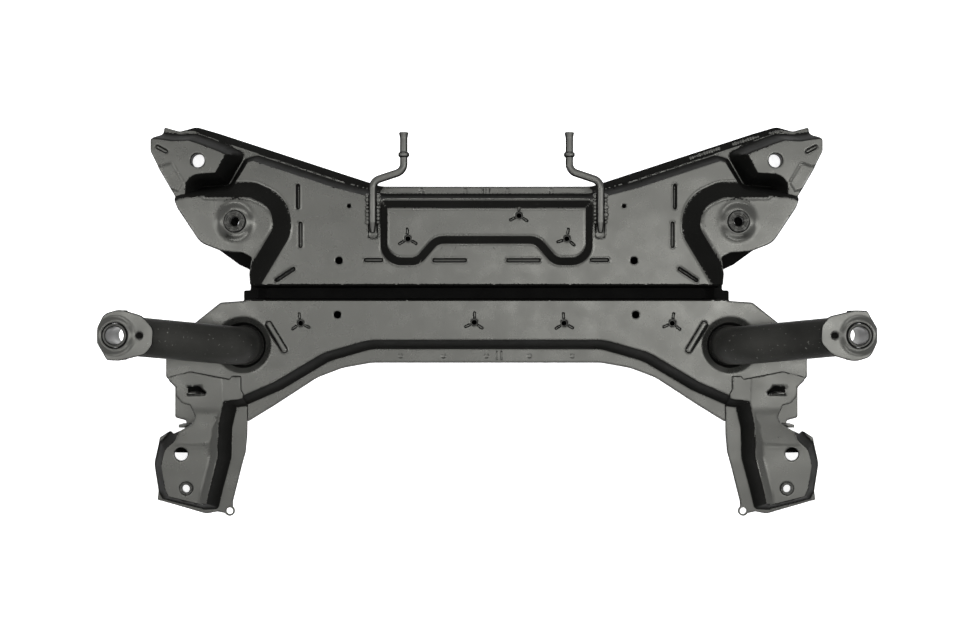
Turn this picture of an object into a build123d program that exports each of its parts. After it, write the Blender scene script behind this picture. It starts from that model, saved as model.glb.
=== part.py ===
"""Front suspension crossmember of a small car, as a welded assembly of steel pressings.

+Y is the rear of the car, +X its right-hand side as seen from above with the rear at the top, and
+Z is up. Two upper pressings, rear and front, lie side by side on one lower panel. Ears at the rear
corners and sleeves on two raised tubes bolt to the body. Bush pads at the sides carry the rear
bushes of the control arms, and the two front arms carry their front bushes. Sizes are millimetres.
"""

from build123d import *
import os
from math import cos, hypot, radians, tan

SHEET = 2.6
SIDES = {"left": -1, "right": 1}

# Heights of the pressed levels, from the underside of the lower panel.
FLANGE_HEIGHT = 18.0
BEAM_HEIGHT = 58.0
PAD_HEIGHT = 80.0
EAR_HEIGHT = 66.0

# Places of the mounts and of the groove, from the middle of the crossmember.
REAR_MOUNT_X = 374.5
REAR_MOUNT_Y = 209.5
BUSH_X = 323.0
BUSH_Y = 129.0
TUBE_FOOT_X = 317.0
TUBE_FOOT_Y = -30.0
TUBE_HEAD_X = 448.0
TUBE_HEAD_Y = -16.0
ARM_MOUNT_X = 403.0
ARM_MOUNT_Y = -175.0
GROOVE_Y = 38.5
GROOVE_WIDTH = 13.6
GROOVE_WALL_LENGTH = 564.0
REAR_PANEL_DEPTH = 134.5
FRONT_PANEL_DEPTH = 85.7

# How far the pressed walls lean, in plan.
PLATEAU_RUN = 14.0
BAND_RUN = 23.0
EAR_RUN = 12.0
FRONT_RUN = 9.0
ARM_RUN = 11.0
TRAY_RUN = 10.0
DISH_RUN = 10.0

# Raised field in the middle of the rear panel.
FIELD_RISE = 9.0
FIELD_RUN = 13.0
FIELD_HALF_WIDTH = 140.0
FIELD_LOBE_DEPTH = 88.0
FIELD_NOTCH_HALF_WIDTH = 62.0

# Body mounts at the rear ears and on the tubes.
REAR_BORE = 18.0
COLLAR_DIAMETER = 30.0
COLLAR_LENGTH = 14.0
ACCESS_HOLE = 46.0
DRAIN_HOLE = 30.0
TUBE_DIAMETER = 48.6
TUBE_WALL = 2.9
TUBE_SLOPE = 22.0
TUBE_BEND = 46.0
SLEEVE_TOP = 203.0
SLEEVE_LENGTH = 70.0
SLEEVE_DIAMETER = 29.0
SLEEVE_BORE = 22.0
BRACKET_SHEET = 3.0
BRACKET_DEPTH = 52.0
BRACKET_HOLE = 8.0
BRACKET_HOLE_OFFSET = 29.0
TUBE_ROOM = 3.0
RIM_HEIGHT = 3.0
RIM_WIDTH = 6.0
WELD_GAP = 0.2
DISH_DEPTH = 12.0
DISH_MARGIN = 12.0

# Weld nuts and the raised cones that they sit in.
BUSH_THREAD = 12.2
BUSH_NUT_DIAMETER = 27.0
BUSH_NUT_HEIGHT = 11.0
BUSH_NUT_MARGIN = 3.0
NUT_FLANGE = 5.0
BUSH_BOLT_HOLE = 15.0
CONE_DIAMETER = 50.0
CONE_HEIGHT = 6.0
CONE_RUN = 7.0
PANEL_THREAD = 6.8
PANEL_HOLE = 8.6
PANEL_NUT_WIDTH = 14.0
PANEL_NUT_HEIGHT = 6.5
ARM_THREAD = 10.2
ARM_NUT_DIAMETER = 16.0
ARM_NUT_MARGIN = 0.9
ARM_NUT_HEIGHT = 8.0

# Front arms, their lower plates and the brackets of the front bushes.
ARM_HEIGHT = 52.0
ARM_FLOOR_RUN = 24.0
ARM_HOLE = 17.0
EYELET_BORE = 8.6
EYELET_DIAMETER = 14.0
PIVOT_OFFSET_X = -16.0
PIVOT_OFFSET_Y = 60.0
PIVOT_WIDTH = 46.0
PIVOT_DEPTH = 30.0
PIVOT_AXIS_HEIGHT = 33.0
PIVOT_BOLT = 12.5
PIVOT_SHEET = 4.0

# Hanger rods across the rear edge.
ROD_DIAMETER = 10.0
ROD_BEND = 13.0
ROD_X = 148.0
ROD_END_X = 107.5
ROD_GROOVE_DEPTH = 2.0
ROD_GROOVE_RUN = 2.0
ROD_GROOVE_WIDTH = 14.5
ROD_COLLAR_DIAMETER = 14.5
ROD_COLLAR_LENGTH = 6.0
ROD_BEAD_OFFSET = 29.0
ROD_HEAD_DIAMETER = 13.0
ROD_HEAD_LENGTH = 7.0
ROD_POINT_DIAMETER = 5.0
ROD_POINT_LENGTH = 14.0

# Ribs inside the box sections.
RIB_SHEET = 3.0
CROSS_RIB_Y = 80.5
CROSS_RIB_LENGTH = 330.0

GROOVE_REAR = GROOVE_Y + GROOVE_WIDTH / 2
GROOVE_FRONT = GROOVE_Y - GROOVE_WIDTH / 2
REAR_EDGE = GROOVE_REAR + REAR_PANEL_DEPTH
FRONT_EDGE = GROOVE_FRONT - FRONT_PANEL_DEPTH
UPPER_FLANGE = FLANGE_HEIGHT + SHEET
ARM_FLANGE = UPPER_FLANGE + SHEET
ARM_CREST = BEAM_HEIGHT + SHEET
FIELD_HEIGHT = BEAM_HEIGHT + FIELD_RISE
BEYOND = 60.0


def about(x, y, corners):
    """Corners (dx, dy, radius) given from a mount at x, y, as corners in the common frame."""
    return [(x + dx, y + dy, radius) for dx, dy, radius in corners]


def both_sides(half):
    """A closed outline from its right half, listed from the rear to the front."""
    return half + [(-x, y, radius) for x, y, radius in reversed(half)]


def mirrored(outline):
    """The same outline on the left side."""
    return [(-x, y, radius) for x, y, radius in outline]


def inset(outline, distance):
    """The outline moved inwards by a distance, with its rounded corners kept concentric."""
    points = [(x, y) for x, y, _ in outline]
    count = len(points)
    area = sum(points[i - 1][0] * points[i][1] - points[i][0] * points[i - 1][1] for i in range(count))
    turn = 1 if area > 0 else -1
    moved = []
    for i, (x, y, radius) in enumerate(outline):
        before, after = points[i - 1], points[(i + 1) % count]
        ax, ay = x - before[0], y - before[1]
        bx, by = after[0] - x, after[1] - y
        ax, ay = ax / hypot(ax, ay), ay / hypot(ax, ay)
        bx, by = bx / hypot(bx, by), by / hypot(bx, by)
        reach = distance * turn / (1 + ax * bx + ay * by)
        concave = turn * (ax * by - ay * bx) < 0
        if radius > 0:
            radius = max(radius + distance if concave else radius - distance, 0.5)
        moved.append((x - (ay + by) * reach, y + (ax + bx) * reach, radius))
    return moved


def rounded(outline, height):
    """A closed wire with rounded corners at a height."""
    points = [(x, y, height) for x, y, _ in outline]
    radii = [radius for _, _, radius in outline]
    return Wire(FilletPolyline(*points, radius=radii, close=True).edges())


def prism(outline, foot, top):
    """A straight solid over an outline."""
    return extrude(Face(rounded(outline, foot)), top - foot, dir=(0, 0, 1))


def block(outline, foot, top, run):
    """A solid step from foot to top whose wall leans inwards by run. Top may lie under foot."""
    return Solid.make_loft([rounded(outline, foot), rounded(inset(outline, run), top)], ruled=True)


def lean(rise, run, depth):
    """How far a leaning wall moves sideways when its sheet is followed to a depth."""
    return depth * (hypot(rise, run) - run) / rise


def raised(outline, foot, top, run):
    """A step pressed up from foot to top."""
    def follow(body, depth):
        shifted = inset(outline, lean(top - foot, run, depth))
        return body + block(shifted, foot - depth, top - depth, run)
    return follow


def sunk(outline, rim, floor, run):
    """A field pressed down from rim to floor."""
    def follow(body, depth):
        shifted = inset(outline, -lean(rim - floor, run, depth))
        return body - block(shifted, rim - depth, floor - depth, run)
    return follow


def cone(x, y, foot_radius, run, foot, top):
    """A round step, up or down, whose wall leans inwards by run."""
    rise = top - foot
    sign = 1 if rise > 0 else -1

    def follow(body, depth):
        wide = foot_radius - sign * lean(abs(rise), run, depth)
        middle = Pos(x, y, (foot + top) / 2 - depth)
        if rise > 0:
            return body + middle * Cone(wide, wide - run, rise)
        return body - middle * Cone(wide - run, wide, -rise)
    return follow


def under(steps, depth):
    """The solid under a pressing whose surface is followed to a depth below its outside."""
    body = Part()
    for follow in steps:
        body = follow(body, depth)
    return body


def pressing(flange, flange_top, steps, trim):
    """A sheet pressing: a flange, and a skin over its steps, cut off along the trim outline."""
    inner = under(steps, SHEET)
    plate = prism(flange, flange_top - SHEET, flange_top)
    return ((plate + under(steps, 0)) - inner) & prism(trim, 0, SLEEVE_TOP)


def drilled(body, holes, diameter, low=0.0, high=SLEEVE_TOP):
    """The body with a round hole along Z at each place."""
    for x, y in holes:
        body = body - Pos(x, y, (low + high) / 2) * Cylinder(diameter / 2, high - low)
    return body


def both(x, y):
    """A place and its mirror place."""
    return [(x, y), (-x, y)]


def plate_along(points, thickness, foot, top):
    """An upright bent plate whose middle follows the points in plan."""
    path = FilletPolyline(*points, radius=3 * thickness)
    outline = offset(path, thickness / 2, kind=Kind.ARC, side=Side.BOTH)
    return Pos(0, 0, foot) * extrude(make_face(outline), top - foot, dir=(0, 0, 1))


# Plan outlines of the right half, from rear to front. Each corner is x, y and radius.
EAR_REAR = about(REAR_MOUNT_X, REAR_MOUNT_Y, [(-20, 41, 60), (11, 50, 14), (32, 43, 8), (53, 49, 2)])
EAR_SIDE = about(REAR_MOUNT_X, REAR_MOUNT_Y, [(54, 36, 3), (61, 27, 3), (61, 12, 10), (49, -12, 20)])
PAD_SIDE = about(BUSH_X, BUSH_Y, [(81, 35, 3), (75, 18, 20), (45, -27, 26), (17, -38, 26), (-9, -40, 6)])
PANEL_END = [(BUSH_X - 21, BUSH_Y - 46, 4), (BUSH_X - 17, BUSH_Y - 67, 2), (BUSH_X - 17, GROOVE_REAR, 0)]
REAR_TRIM = [(138, REAR_EDGE, 30)] + EAR_REAR + EAR_SIDE + PAD_SIDE + PANEL_END

BEAM_CORNER = [(TUBE_FOOT_X - 12, GROOVE_FRONT, 2)]
BEAM_CORNER = BEAM_CORNER + about(TUBE_FOOT_X, TUBE_FOOT_Y, [(-1, 57.5, 6), (29, 55.5, 8)])
BEAM_SIDE = about(ARM_MOUNT_X, ARM_MOUNT_Y, [(-25, 175, 4), (14, 130, 4), (14, 103, 4), (6, 97, 3)])
ARM_NECK = about(ARM_MOUNT_X, ARM_MOUNT_Y, [(-46, 94, 4), (-60, 70, 8), (-87, 43, 2)])
FRONT_CURVE = about(ARM_MOUNT_X, ARM_MOUNT_Y, [(-122, 64.5, 60), (-178, 101, 60)])
FRONT_CURVE = FRONT_CURVE + [(191, FRONT_EDGE - 7, 60), (152, FRONT_EDGE, 60)]
FRONT_TRIM = BEAM_CORNER + BEAM_SIDE + ARM_NECK + FRONT_CURVE

REAR_PLATEAU = [(135, REAR_EDGE - 12, 40)] + about(REAR_MOUNT_X, REAR_MOUNT_Y, [
    (-180.5, -26.5, 30), (-70.5, 9.5, 12), (-57.5, 5.5, 6), (-36.5, -28.5, 5), (19.5, -33.5, 10),
    (105.5, -59.5, 0),
]) + [(REAR_MOUNT_X + 105.5, GROOVE_REAR - BEYOND, 0)]
REAR_LEVEL = [(BUSH_X + 43, REAR_MOUNT_Y + BEYOND, 0)] + about(BUSH_X, BUSH_Y, [
    (43, 30, 6), (-17, 30, 16), (-43, 18, 24), (-47, -7, 20), (-5, -77, 0),
]) + [(BUSH_X - 5, GROOVE_REAR - BEYOND, 0)]
EAR_FIELD = about(REAR_MOUNT_X, REAR_MOUNT_Y, [
    (-54, 13, 6), (-34, 23, 30), (-8, 33, 20), (10, 39, 20), (32, 38, 10), (120, 50, 0),
    (120, -80, 0), (14, -80, 0), (14, -31, 6), (-31, -28.5, 5),
])
MIDDLE_FIELD = [
    (FIELD_HALF_WIDTH, REAR_EDGE - 20, 8), (FIELD_HALF_WIDTH, REAR_EDGE - 20 - FIELD_LOBE_DEPTH, 30),
    (86, REAR_EDGE - 20 - FIELD_LOBE_DEPTH, 24), (FIELD_NOTCH_HALF_WIDTH, REAR_EDGE - 80, 14),
]
FRONT_PLATEAU = [(ARM_MOUNT_X + 77, GROOVE_FRONT + BEYOND, 0)] + about(ARM_MOUNT_X, ARM_MOUNT_Y, [
    (77, 63, 0), (-53, 63, 10), (-85, 67, 30), (-131, 87, 40),
]) + [(208, FRONT_EDGE + 4, 60), (152, FRONT_EDGE + 20, 60)]
TRAY = (
    [(138, REAR_EDGE - 19, 20)]
    + about(REAR_MOUNT_X, REAR_MOUNT_Y, [(-178.5, -35.5, 16), (-82.5, -4.5, 12), (-62.5, -31.5, 14)])
    + about(BUSH_X, BUSH_Y, [(-45, 23, 20), (-60, -3, 20), (-35, -69, 10)])
    + about(TUBE_FOOT_X, TUBE_FOOT_Y, [(-13, 78, 6), (-13, 58, 6), (33, 40, 10), (73, -14, 10), (73, -40, 8)])
    + about(ARM_MOUNT_X, ARM_MOUNT_Y, [(-73, 77, 12), (-118, 85, 15), (-177, 121, 40)])
    + [(190, FRONT_EDGE + 11, 40), (150, FRONT_EDGE + 17, 30)]
)
LOWER_TRIM = (
    [(138, REAR_EDGE, 30)] + EAR_REAR
    + about(REAR_MOUNT_X, REAR_MOUNT_Y, [(48, 32, 4), (55, 24, 4), (55, 11, 8), (43, -13, 20)])
    + about(BUSH_X, BUSH_Y, [(70, 22, 20), (44, -21, 10), (34, -32, 8), (5, -53, 12), (-10, -60, 4)])
    + about(TUBE_FOOT_X, TUBE_FOOT_Y, [(-4, 72, 2), (5, 72, 2), (5, 58, 2), (29, 54, 6)])
    + about(ARM_MOUNT_X, ARM_MOUNT_Y, [(-28, 172, 4), (12, 126, 3), (12, 103, 4), (2, 91, 4)])
    + ARM_NECK + FRONT_CURVE
)

# Plan outlines of the right front arm and its lower plate, from its mount hole.
ARM_TRIM = about(ARM_MOUNT_X, ARM_MOUNT_Y, [
    (-18, 111, 4), (-69, 101, 2), (-72, 105, 2), (-84, 105, 2), (-84, 87, 2), (-87, 82, 2), (-86, 25, 20),
    (-84, 3, 20), (-79, -15, 20), (-67, -63, 10), (-67, -77, 3), (-60, -79, 3), (-47, -76, 4),
    (-32, -79, 10), (-8, -72, 10), (27, -62, 2), (33, -61, 2), (31.5, -48, 10), (37, -12, 30),
    (31, 15, 3), (30, 22, 3), (16, 31, 4), (9, 28, 3), (-5, 34, 5), (-20, 43, 6), (-24, 53, 3),
    (-18, 67, 3), (-8, 69, 5), (0, 78, 6), (1, 90, 4), (14, 103, 4),
])
ARM_SHELL = about(ARM_MOUNT_X, ARM_MOUNT_Y, [
    (60, 170, 0), (-68, 170, 0), (-73, 70, 10), (-65, 36, 30), (-64, -4, 30), (-53, -45, 20),
    (-47, -71, 4), (-31, -72, 6), (25, -58, 5), (30, -48, 10), (36, -12, 30), (29, 15, 3),
    (14, 30, 4), (30, 60, 0), (70, 70, 0),
])
ARM_FLOOR = about(ARM_MOUNT_X, ARM_MOUNT_Y, [
    (-56, 60, 28), (-56, -2, 40), (-44, -50, 30), (-39, -110, 0), (100, -110, 0), (100, 60, 0),
])
ARM_SLOT = about(ARM_MOUNT_X, ARM_MOUNT_Y, [
    (-15, 90.5, 1.5), (-29, 92, 6), (-42, 80.5, 1.5), (-28, 83, 6), (-15, 81, 1.5),
])
ARM_PLATE = about(ARM_MOUNT_X, ARM_MOUNT_Y, [
    (13, 112, 3), (-10, 112, 3), (-10, 102, 3), (-50, 82, 4), (-49, 45, 10), (-42, 3, 3),
    (-6, 3, 2), (-4, 44, 3), (11, 48, 3), (11, 88, 3), (16, 100, 4),
])

# Plan outline of the left tube end bracket, from its sleeve. The right one is the same part,
# turned half round.
BRACKET = [
    (-22, 9, 12), (-22, -9, 6), (-10, -30, 4), (5, -30.5, 20), (36, -23, 12), (45, -12, 12),
    (46, 9, 12), (32, 24, 20), (5, 32, 26), (-14, 26, 14),
]

# Route of the right hanger rod in plan, from its point to its head.
ROD_ROUTE = [
    (ROD_X, REAR_EDGE - 50), (ROD_X, REAR_EDGE + 3),
    (ROD_END_X, REAR_EDGE + 16.5), (ROD_END_X, REAR_EDGE + 66.5),
]
ROD_GROOVE = about(ROD_X, REAR_EDGE, [
    (ROD_GROOVE_WIDTH / 2, BEYOND, 0), (ROD_GROOVE_WIDTH / 2, -71.8, 5),
    (-ROD_GROOVE_WIDTH / 2, -71.8, 5), (-ROD_GROOVE_WIDTH / 2, BEYOND, 0),
])
RIB_ROUTE = [(BUSH_X - 79, BUSH_Y + 39), (BUSH_X - 81, BUSH_Y - 31), (BUSH_X - 61, BUSH_Y - 65)]

ARM_HOLE_PLACE = (ARM_MOUNT_X - 4, ARM_MOUNT_Y + 2.5)
EYELET = (ARM_MOUNT_X - 63, ARM_MOUNT_Y - 75)
ARM_NUT = (ARM_MOUNT_X - 10.5, ARM_MOUNT_Y - 42.5)
PIVOT_X = ARM_MOUNT_X + PIVOT_OFFSET_X
PANEL_HOLES_REAR = [(-102, REAR_EDGE - 71.8), (42, REAR_EDGE - 41.8), (104, REAR_EDGE - 71.8)]
PANEL_HOLES_FRONT = [
    (-242, FRONT_EDGE + 52.5), (-16, FRONT_EDGE + 53.5), (101, FRONT_EDGE + 52.5), (242, FRONT_EDGE + 52.5),
]
PLAIN_HOLES_REAR = both(192, REAR_EDGE - 99.8)
PILOT_HOLES_REAR = both(179, REAR_EDGE - 28.8)
PLAIN_HOLES_FRONT = both(194, FRONT_EDGE + 63.5)
DRAIN_HOLES = both(72, 100) + both(200, 120) + [(0, 120)] + both(150, -5)
BUSH = both(BUSH_X, BUSH_Y)
REAR_MOUNTS = both(REAR_MOUNT_X, REAR_MOUNT_Y)
TUBE_FEET = both(TUBE_FOOT_X, TUBE_FOOT_Y)


def groove_wall(y):
    """The wall along the groove that stands from the lower panel to a box top."""
    height = BEAM_HEIGHT - SHEET
    return Pos(0, y, SHEET + height / 2) * Box(GROOVE_WALL_LENGTH, SHEET, height)


def rear_upper_panel():
    """The rear pressing: box top, middle field, bush pads with nut cones, and mount ears."""
    steps = [
        raised(both_sides(REAR_PLATEAU), UPPER_FLANGE, PAD_HEIGHT, PLATEAU_RUN),
        sunk(both_sides(REAR_LEVEL), PAD_HEIGHT, BEAM_HEIGHT, BAND_RUN),
        raised(both_sides(MIDDLE_FIELD), BEAM_HEIGHT, FIELD_HEIGHT, FIELD_RUN),
        raised(EAR_FIELD, UPPER_FLANGE, EAR_HEIGHT, EAR_RUN),
        raised(mirrored(EAR_FIELD), UPPER_FLANGE, EAR_HEIGHT, EAR_RUN),
    ]
    for outline in (ROD_GROOVE, mirrored(ROD_GROOVE)):
        steps.append(sunk(outline, BEAM_HEIGHT, BEAM_HEIGHT - ROD_GROOVE_DEPTH, ROD_GROOVE_RUN))
    for x, y in BUSH:
        steps.append(cone(x, y, CONE_DIAMETER / 2, CONE_RUN, PAD_HEIGHT, PAD_HEIGHT + CONE_HEIGHT))
    trim = both_sides(REAR_TRIM)
    body = pressing(trim, UPPER_FLANGE, steps, trim)
    body = body + groove_wall(GROOVE_REAR + SHEET / 2)
    body = drilled(body, BUSH, BUSH_NUT_DIAMETER + 2 * WELD_GAP)
    body = drilled(body, REAR_MOUNTS, REAR_BORE)
    body = drilled(body, PANEL_HOLES_REAR + PLAIN_HOLES_REAR, PANEL_HOLE)
    return drilled(body, PILOT_HOLES_REAR, PANEL_HOLE / 2)


def front_upper_panel():
    """The front pressing: box top with a dish round each tube, and its weld flange."""
    steps = [raised(both_sides(FRONT_PLATEAU), UPPER_FLANGE, BEAM_HEIGHT, FRONT_RUN)]
    for x, y in TUBE_FEET:
        radius = TUBE_DIAMETER / 2 + DISH_MARGIN
        steps.append(cone(x, y, radius, DISH_RUN, BEAM_HEIGHT, BEAM_HEIGHT - DISH_DEPTH))
    trim = both_sides(FRONT_TRIM)
    body = pressing(trim, UPPER_FLANGE, steps, trim)
    body = body + groove_wall(GROOVE_FRONT - SHEET / 2)
    body = drilled(body, TUBE_FEET, TUBE_DIAMETER + 2 * WELD_GAP)
    return drilled(body, PANEL_HOLES_FRONT + PLAIN_HOLES_FRONT, PANEL_HOLE)


def lower_panel():
    """The lower pressing: a shallow tray under both boxes, with bolt and access holes."""
    rim = FLANGE_HEIGHT - SHEET
    trim = both_sides(LOWER_TRIM)
    tray = both_sides(TRAY)
    shift = lean(rim, TRAY_RUN, SHEET)
    outer = block(tray, rim, 0, TRAY_RUN)
    inner = block(inset(tray, shift), FLANGE_HEIGHT, SHEET, TRAY_RUN)
    body = (prism(trim, rim, FLANGE_HEIGHT) + outer) - inner
    body = drilled(body, BUSH, BUSH_BOLT_HOLE)
    body = drilled(body, REAR_MOUNTS, ACCESS_HOLE)
    return drilled(body, DRAIN_HOLES, DRAIN_HOLE)


def arm_steps():
    """The levels of the right front arm. Its rear end lies on the front pressing."""
    over = lean(BEAM_HEIGHT - UPPER_FLANGE, FRONT_RUN, SHEET)
    cover = inset(both_sides(FRONT_PLATEAU), -over)
    return [
        raised(ARM_SHELL, ARM_FLANGE, ARM_CREST, ARM_RUN),
        raised(cover, ARM_FLANGE, ARM_CREST, FRONT_RUN),
        sunk(ARM_FLOOR, ARM_CREST, ARM_HEIGHT, ARM_FLOOR_RUN),
    ]


def front_arm():
    """The right front arm: a hat-shaped pressing with a crest along its inner side and an eyelet."""
    body = pressing(ARM_TRIM, ARM_FLANGE, arm_steps(), ARM_TRIM)
    x, y = EYELET
    body = body + Pos(x, y, UPPER_FLANGE + SHEET / 2) * Cylinder(EYELET_DIAMETER / 2, SHEET)
    body = drilled(body, [EYELET], EYELET_BORE)
    body = drilled(body, [ARM_NUT], ARM_NUT_DIAMETER + 2 * WELD_GAP)
    body = body - prism(ARM_SLOT, BEAM_HEIGHT, SLEEVE_TOP)
    return drilled(body, [ARM_HOLE_PLACE], ARM_HOLE)


def arm_lower_plate():
    """The plate under the right arm, welded below the flange of the lower panel."""
    rim = FLANGE_HEIGHT - SHEET
    return prism(ARM_PLATE, rim - SHEET, rim)


def arm_pivot_bracket():
    """The U-shaped bracket of the right arm's front bush. Its top follows the arm's underside."""
    rim = FLANGE_HEIGHT - SHEET
    middle = ARM_MOUNT_Y + PIVOT_OFFSET_Y
    web = PIVOT_X - PIVOT_DEPTH / 2
    half = PIVOT_WIDTH / 2
    outer = [(web, middle + half, 7), (web, middle - half, 7)]
    tips = [(web + PIVOT_DEPTH, middle - half, 0), (web + PIVOT_DEPTH, middle + half, 0)]
    inner = [
        (web + PIVOT_SHEET, middle + half - PIVOT_SHEET, 3),
        (web + PIVOT_SHEET, middle - half + PIVOT_SHEET, 3),
    ]
    mouth = [
        (web + PIVOT_DEPTH + PIVOT_SHEET, middle - half + PIVOT_SHEET, 0),
        (web + PIVOT_DEPTH + PIVOT_SHEET, middle + half - PIVOT_SHEET, 0),
    ]
    strip = prism(outer + tips, rim, ARM_CREST) - prism(inner + mouth, rim, ARM_CREST)
    low = strip & prism(outer + tips, rim, ARM_FLANGE)
    high = strip & under(arm_steps(), SHEET)
    bolt = Pos(PIVOT_X, middle, PIVOT_AXIS_HEIGHT) * Rot(90, 0, 0) * Cylinder(PIVOT_BOLT / 2, 2 * PIVOT_WIDTH)
    return low + high - bolt


def tube_axis():
    """The corners of the right tube's middle line: foot, elbow and head."""
    run = hypot(TUBE_HEAD_X - TUBE_FOOT_X, TUBE_HEAD_Y - TUBE_FOOT_Y)
    plate = SLEEVE_TOP - RIM_HEIGHT - BRACKET_SHEET
    head = plate - TUBE_ROOM - TUBE_DIAMETER / 2 / cos(radians(TUBE_SLOPE))
    elbow = head - run * tan(radians(TUBE_SLOPE))
    return [
        (TUBE_FOOT_X, TUBE_FOOT_Y, SHEET),
        (TUBE_FOOT_X, TUBE_FOOT_Y, elbow),
        (TUBE_HEAD_X, TUBE_HEAD_Y, head),
    ]


def tube_core(diameter):
    """A round bar along the right tube."""
    path = FilletPolyline(*tube_axis(), radius=TUBE_BEND)
    x, y, z = tube_axis()[0]
    return sweep(Pos(x, y, z) * Circle(diameter / 2), path=path)


def mount_tube():
    """The right tube from the lower panel through the dish up to its sleeve."""
    body = tube_core(TUBE_DIAMETER) - tube_core(TUBE_DIAMETER - 2 * TUBE_WALL)
    clear = SLEEVE_DIAMETER / 2 + WELD_GAP
    return body - Pos(TUBE_HEAD_X, TUBE_HEAD_Y, SLEEVE_TOP / 2) * Cylinder(clear, SLEEVE_TOP)


def tube_end_sleeve():
    """The right tube's upright sleeve for the body bolt."""
    place = Pos(TUBE_HEAD_X, TUBE_HEAD_Y, SLEEVE_TOP - SLEEVE_LENGTH / 2)
    return place * (Cylinder(SLEEVE_DIAMETER / 2, SLEEVE_LENGTH) - Cylinder(SLEEVE_BORE / 2, SLEEVE_LENGTH))


def tube_end_bracket(side):
    """A pressed cap over a tube's head, with a rim round the sleeve.

    Both sides take the same part, turned half round, and each is cut to its own tube.
    """
    plate = SLEEVE_TOP - RIM_HEIGHT
    foot = plate - BRACKET_DEPTH
    sign = SIDES[side]
    head_x = sign * TUBE_HEAD_X
    outline = about(head_x, TUBE_HEAD_Y, [(-sign * dx, -sign * dy, radius) for dx, dy, radius in BRACKET])
    body = prism(outline, foot, plate) - prism(inset(outline, BRACKET_SHEET), foot, plate - BRACKET_SHEET)
    rim = Cylinder(SLEEVE_DIAMETER / 2 + RIM_WIDTH, RIM_HEIGHT)
    body = body + Pos(head_x, TUBE_HEAD_Y, plate + RIM_HEIGHT / 2) * rim
    core = tube_core(TUBE_DIAMETER + 2 * WELD_GAP)
    body = body - (core if sign > 0 else mirror(core, about=Plane.YZ))
    body = drilled(body, [(head_x, TUBE_HEAD_Y)], SLEEVE_DIAMETER + 2 * WELD_GAP)
    hole = (head_x - sign * BRACKET_HOLE_OFFSET, TUBE_HEAD_Y)
    return drilled(body, [hole], BRACKET_HOLE, foot + TUBE_DIAMETER / 2)


def rear_mount_collar():
    """The thick collar welded under the right ear's body mount hole."""
    place = Pos(REAR_MOUNT_X, REAR_MOUNT_Y, EAR_HEIGHT - SHEET - COLLAR_LENGTH / 2)
    return place * (Cylinder(COLLAR_DIAMETER / 2, COLLAR_LENGTH) - Cylinder(REAR_BORE / 2, COLLAR_LENGTH))


def flanged_nut(x, y, seat, diameter, margin, height, thread):
    """A round weld nut whose flange lies under a sheet and whose hub comes up through it."""
    body = Pos(x, y, seat - NUT_FLANGE / 2) * Cylinder(diameter / 2 + margin, NUT_FLANGE)
    body = body + Pos(x, y, seat - NUT_FLANGE + height / 2) * Cylinder(diameter / 2, height)
    return drilled(body, [(x, y)], thread)


def bush_nut():
    """The right weld nut of the control arm's rear bush."""
    seat = PAD_HEIGHT + CONE_HEIGHT - SHEET
    return flanged_nut(BUSH_X, BUSH_Y, seat, BUSH_NUT_DIAMETER, BUSH_NUT_MARGIN, BUSH_NUT_HEIGHT, BUSH_THREAD)


def arm_nut():
    """The right arm's weld nut."""
    seat = ARM_HEIGHT - SHEET
    return flanged_nut(*ARM_NUT, seat, ARM_NUT_DIAMETER, ARM_NUT_MARGIN, ARM_NUT_HEIGHT, ARM_THREAD)


def hanger_rod():
    """The right hanger rod: a bent bar with a point, a beaded collar and a flared head."""
    height = BEAM_HEIGHT - ROD_GROOVE_DEPTH + ROD_DIAMETER / 2
    points = [(x, y, height) for x, y in ROD_ROUTE]
    path = FilletPolyline(*points, radius=ROD_BEND)
    x, y, z = points[0]
    along = Plane(origin=(x, y, z), z_dir=(0, 1, 0))
    body = sweep(along * Circle(ROD_DIAMETER / 2), path=path)
    tip = Plane(origin=(x, y - ROD_POINT_LENGTH / 2, z), z_dir=(0, 1, 0))
    body = body + tip * Cone(ROD_POINT_DIAMETER / 2, ROD_DIAMETER / 2, ROD_POINT_LENGTH)
    end_x, end_y, _ = points[-1]
    head = Plane(origin=(end_x, end_y - ROD_HEAD_LENGTH / 2, z), z_dir=(0, 1, 0))
    bead = Plane(origin=(end_x, end_y - ROD_BEAD_OFFSET, z), z_dir=(0, 1, 0))
    body = body + head * Cone(ROD_DIAMETER / 2, ROD_HEAD_DIAMETER / 2, ROD_HEAD_LENGTH)
    return body + bead * Cylinder(ROD_COLLAR_DIAMETER / 2, ROD_COLLAR_LENGTH)


def inner_rib():
    """The right upright rib inside the rear box."""
    return plate_along(RIB_ROUTE, RIB_SHEET, SHEET, BEAM_HEIGHT - SHEET)


def inner_cross_rib():
    """The upright rib across the rear box, below the plug welds."""
    height = BEAM_HEIGHT - 2 * SHEET
    return Pos(0, CROSS_RIB_Y, SHEET + height / 2) * Box(CROSS_RIB_LENGTH, RIB_SHEET, height)


def panel_nuts(places, seat):
    """Hexagonal weld nuts under a panel, one at each place."""
    hexagon = RegularPolygon(PANEL_NUT_WIDTH / 2, 6, major_radius=False) - Circle(PANEL_THREAD / 2)
    nut = extrude(hexagon, PANEL_NUT_HEIGHT)
    return Compound([Pos(x, y, seat - PANEL_NUT_HEIGHT) * nut.solid() for x, y in places])


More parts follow.
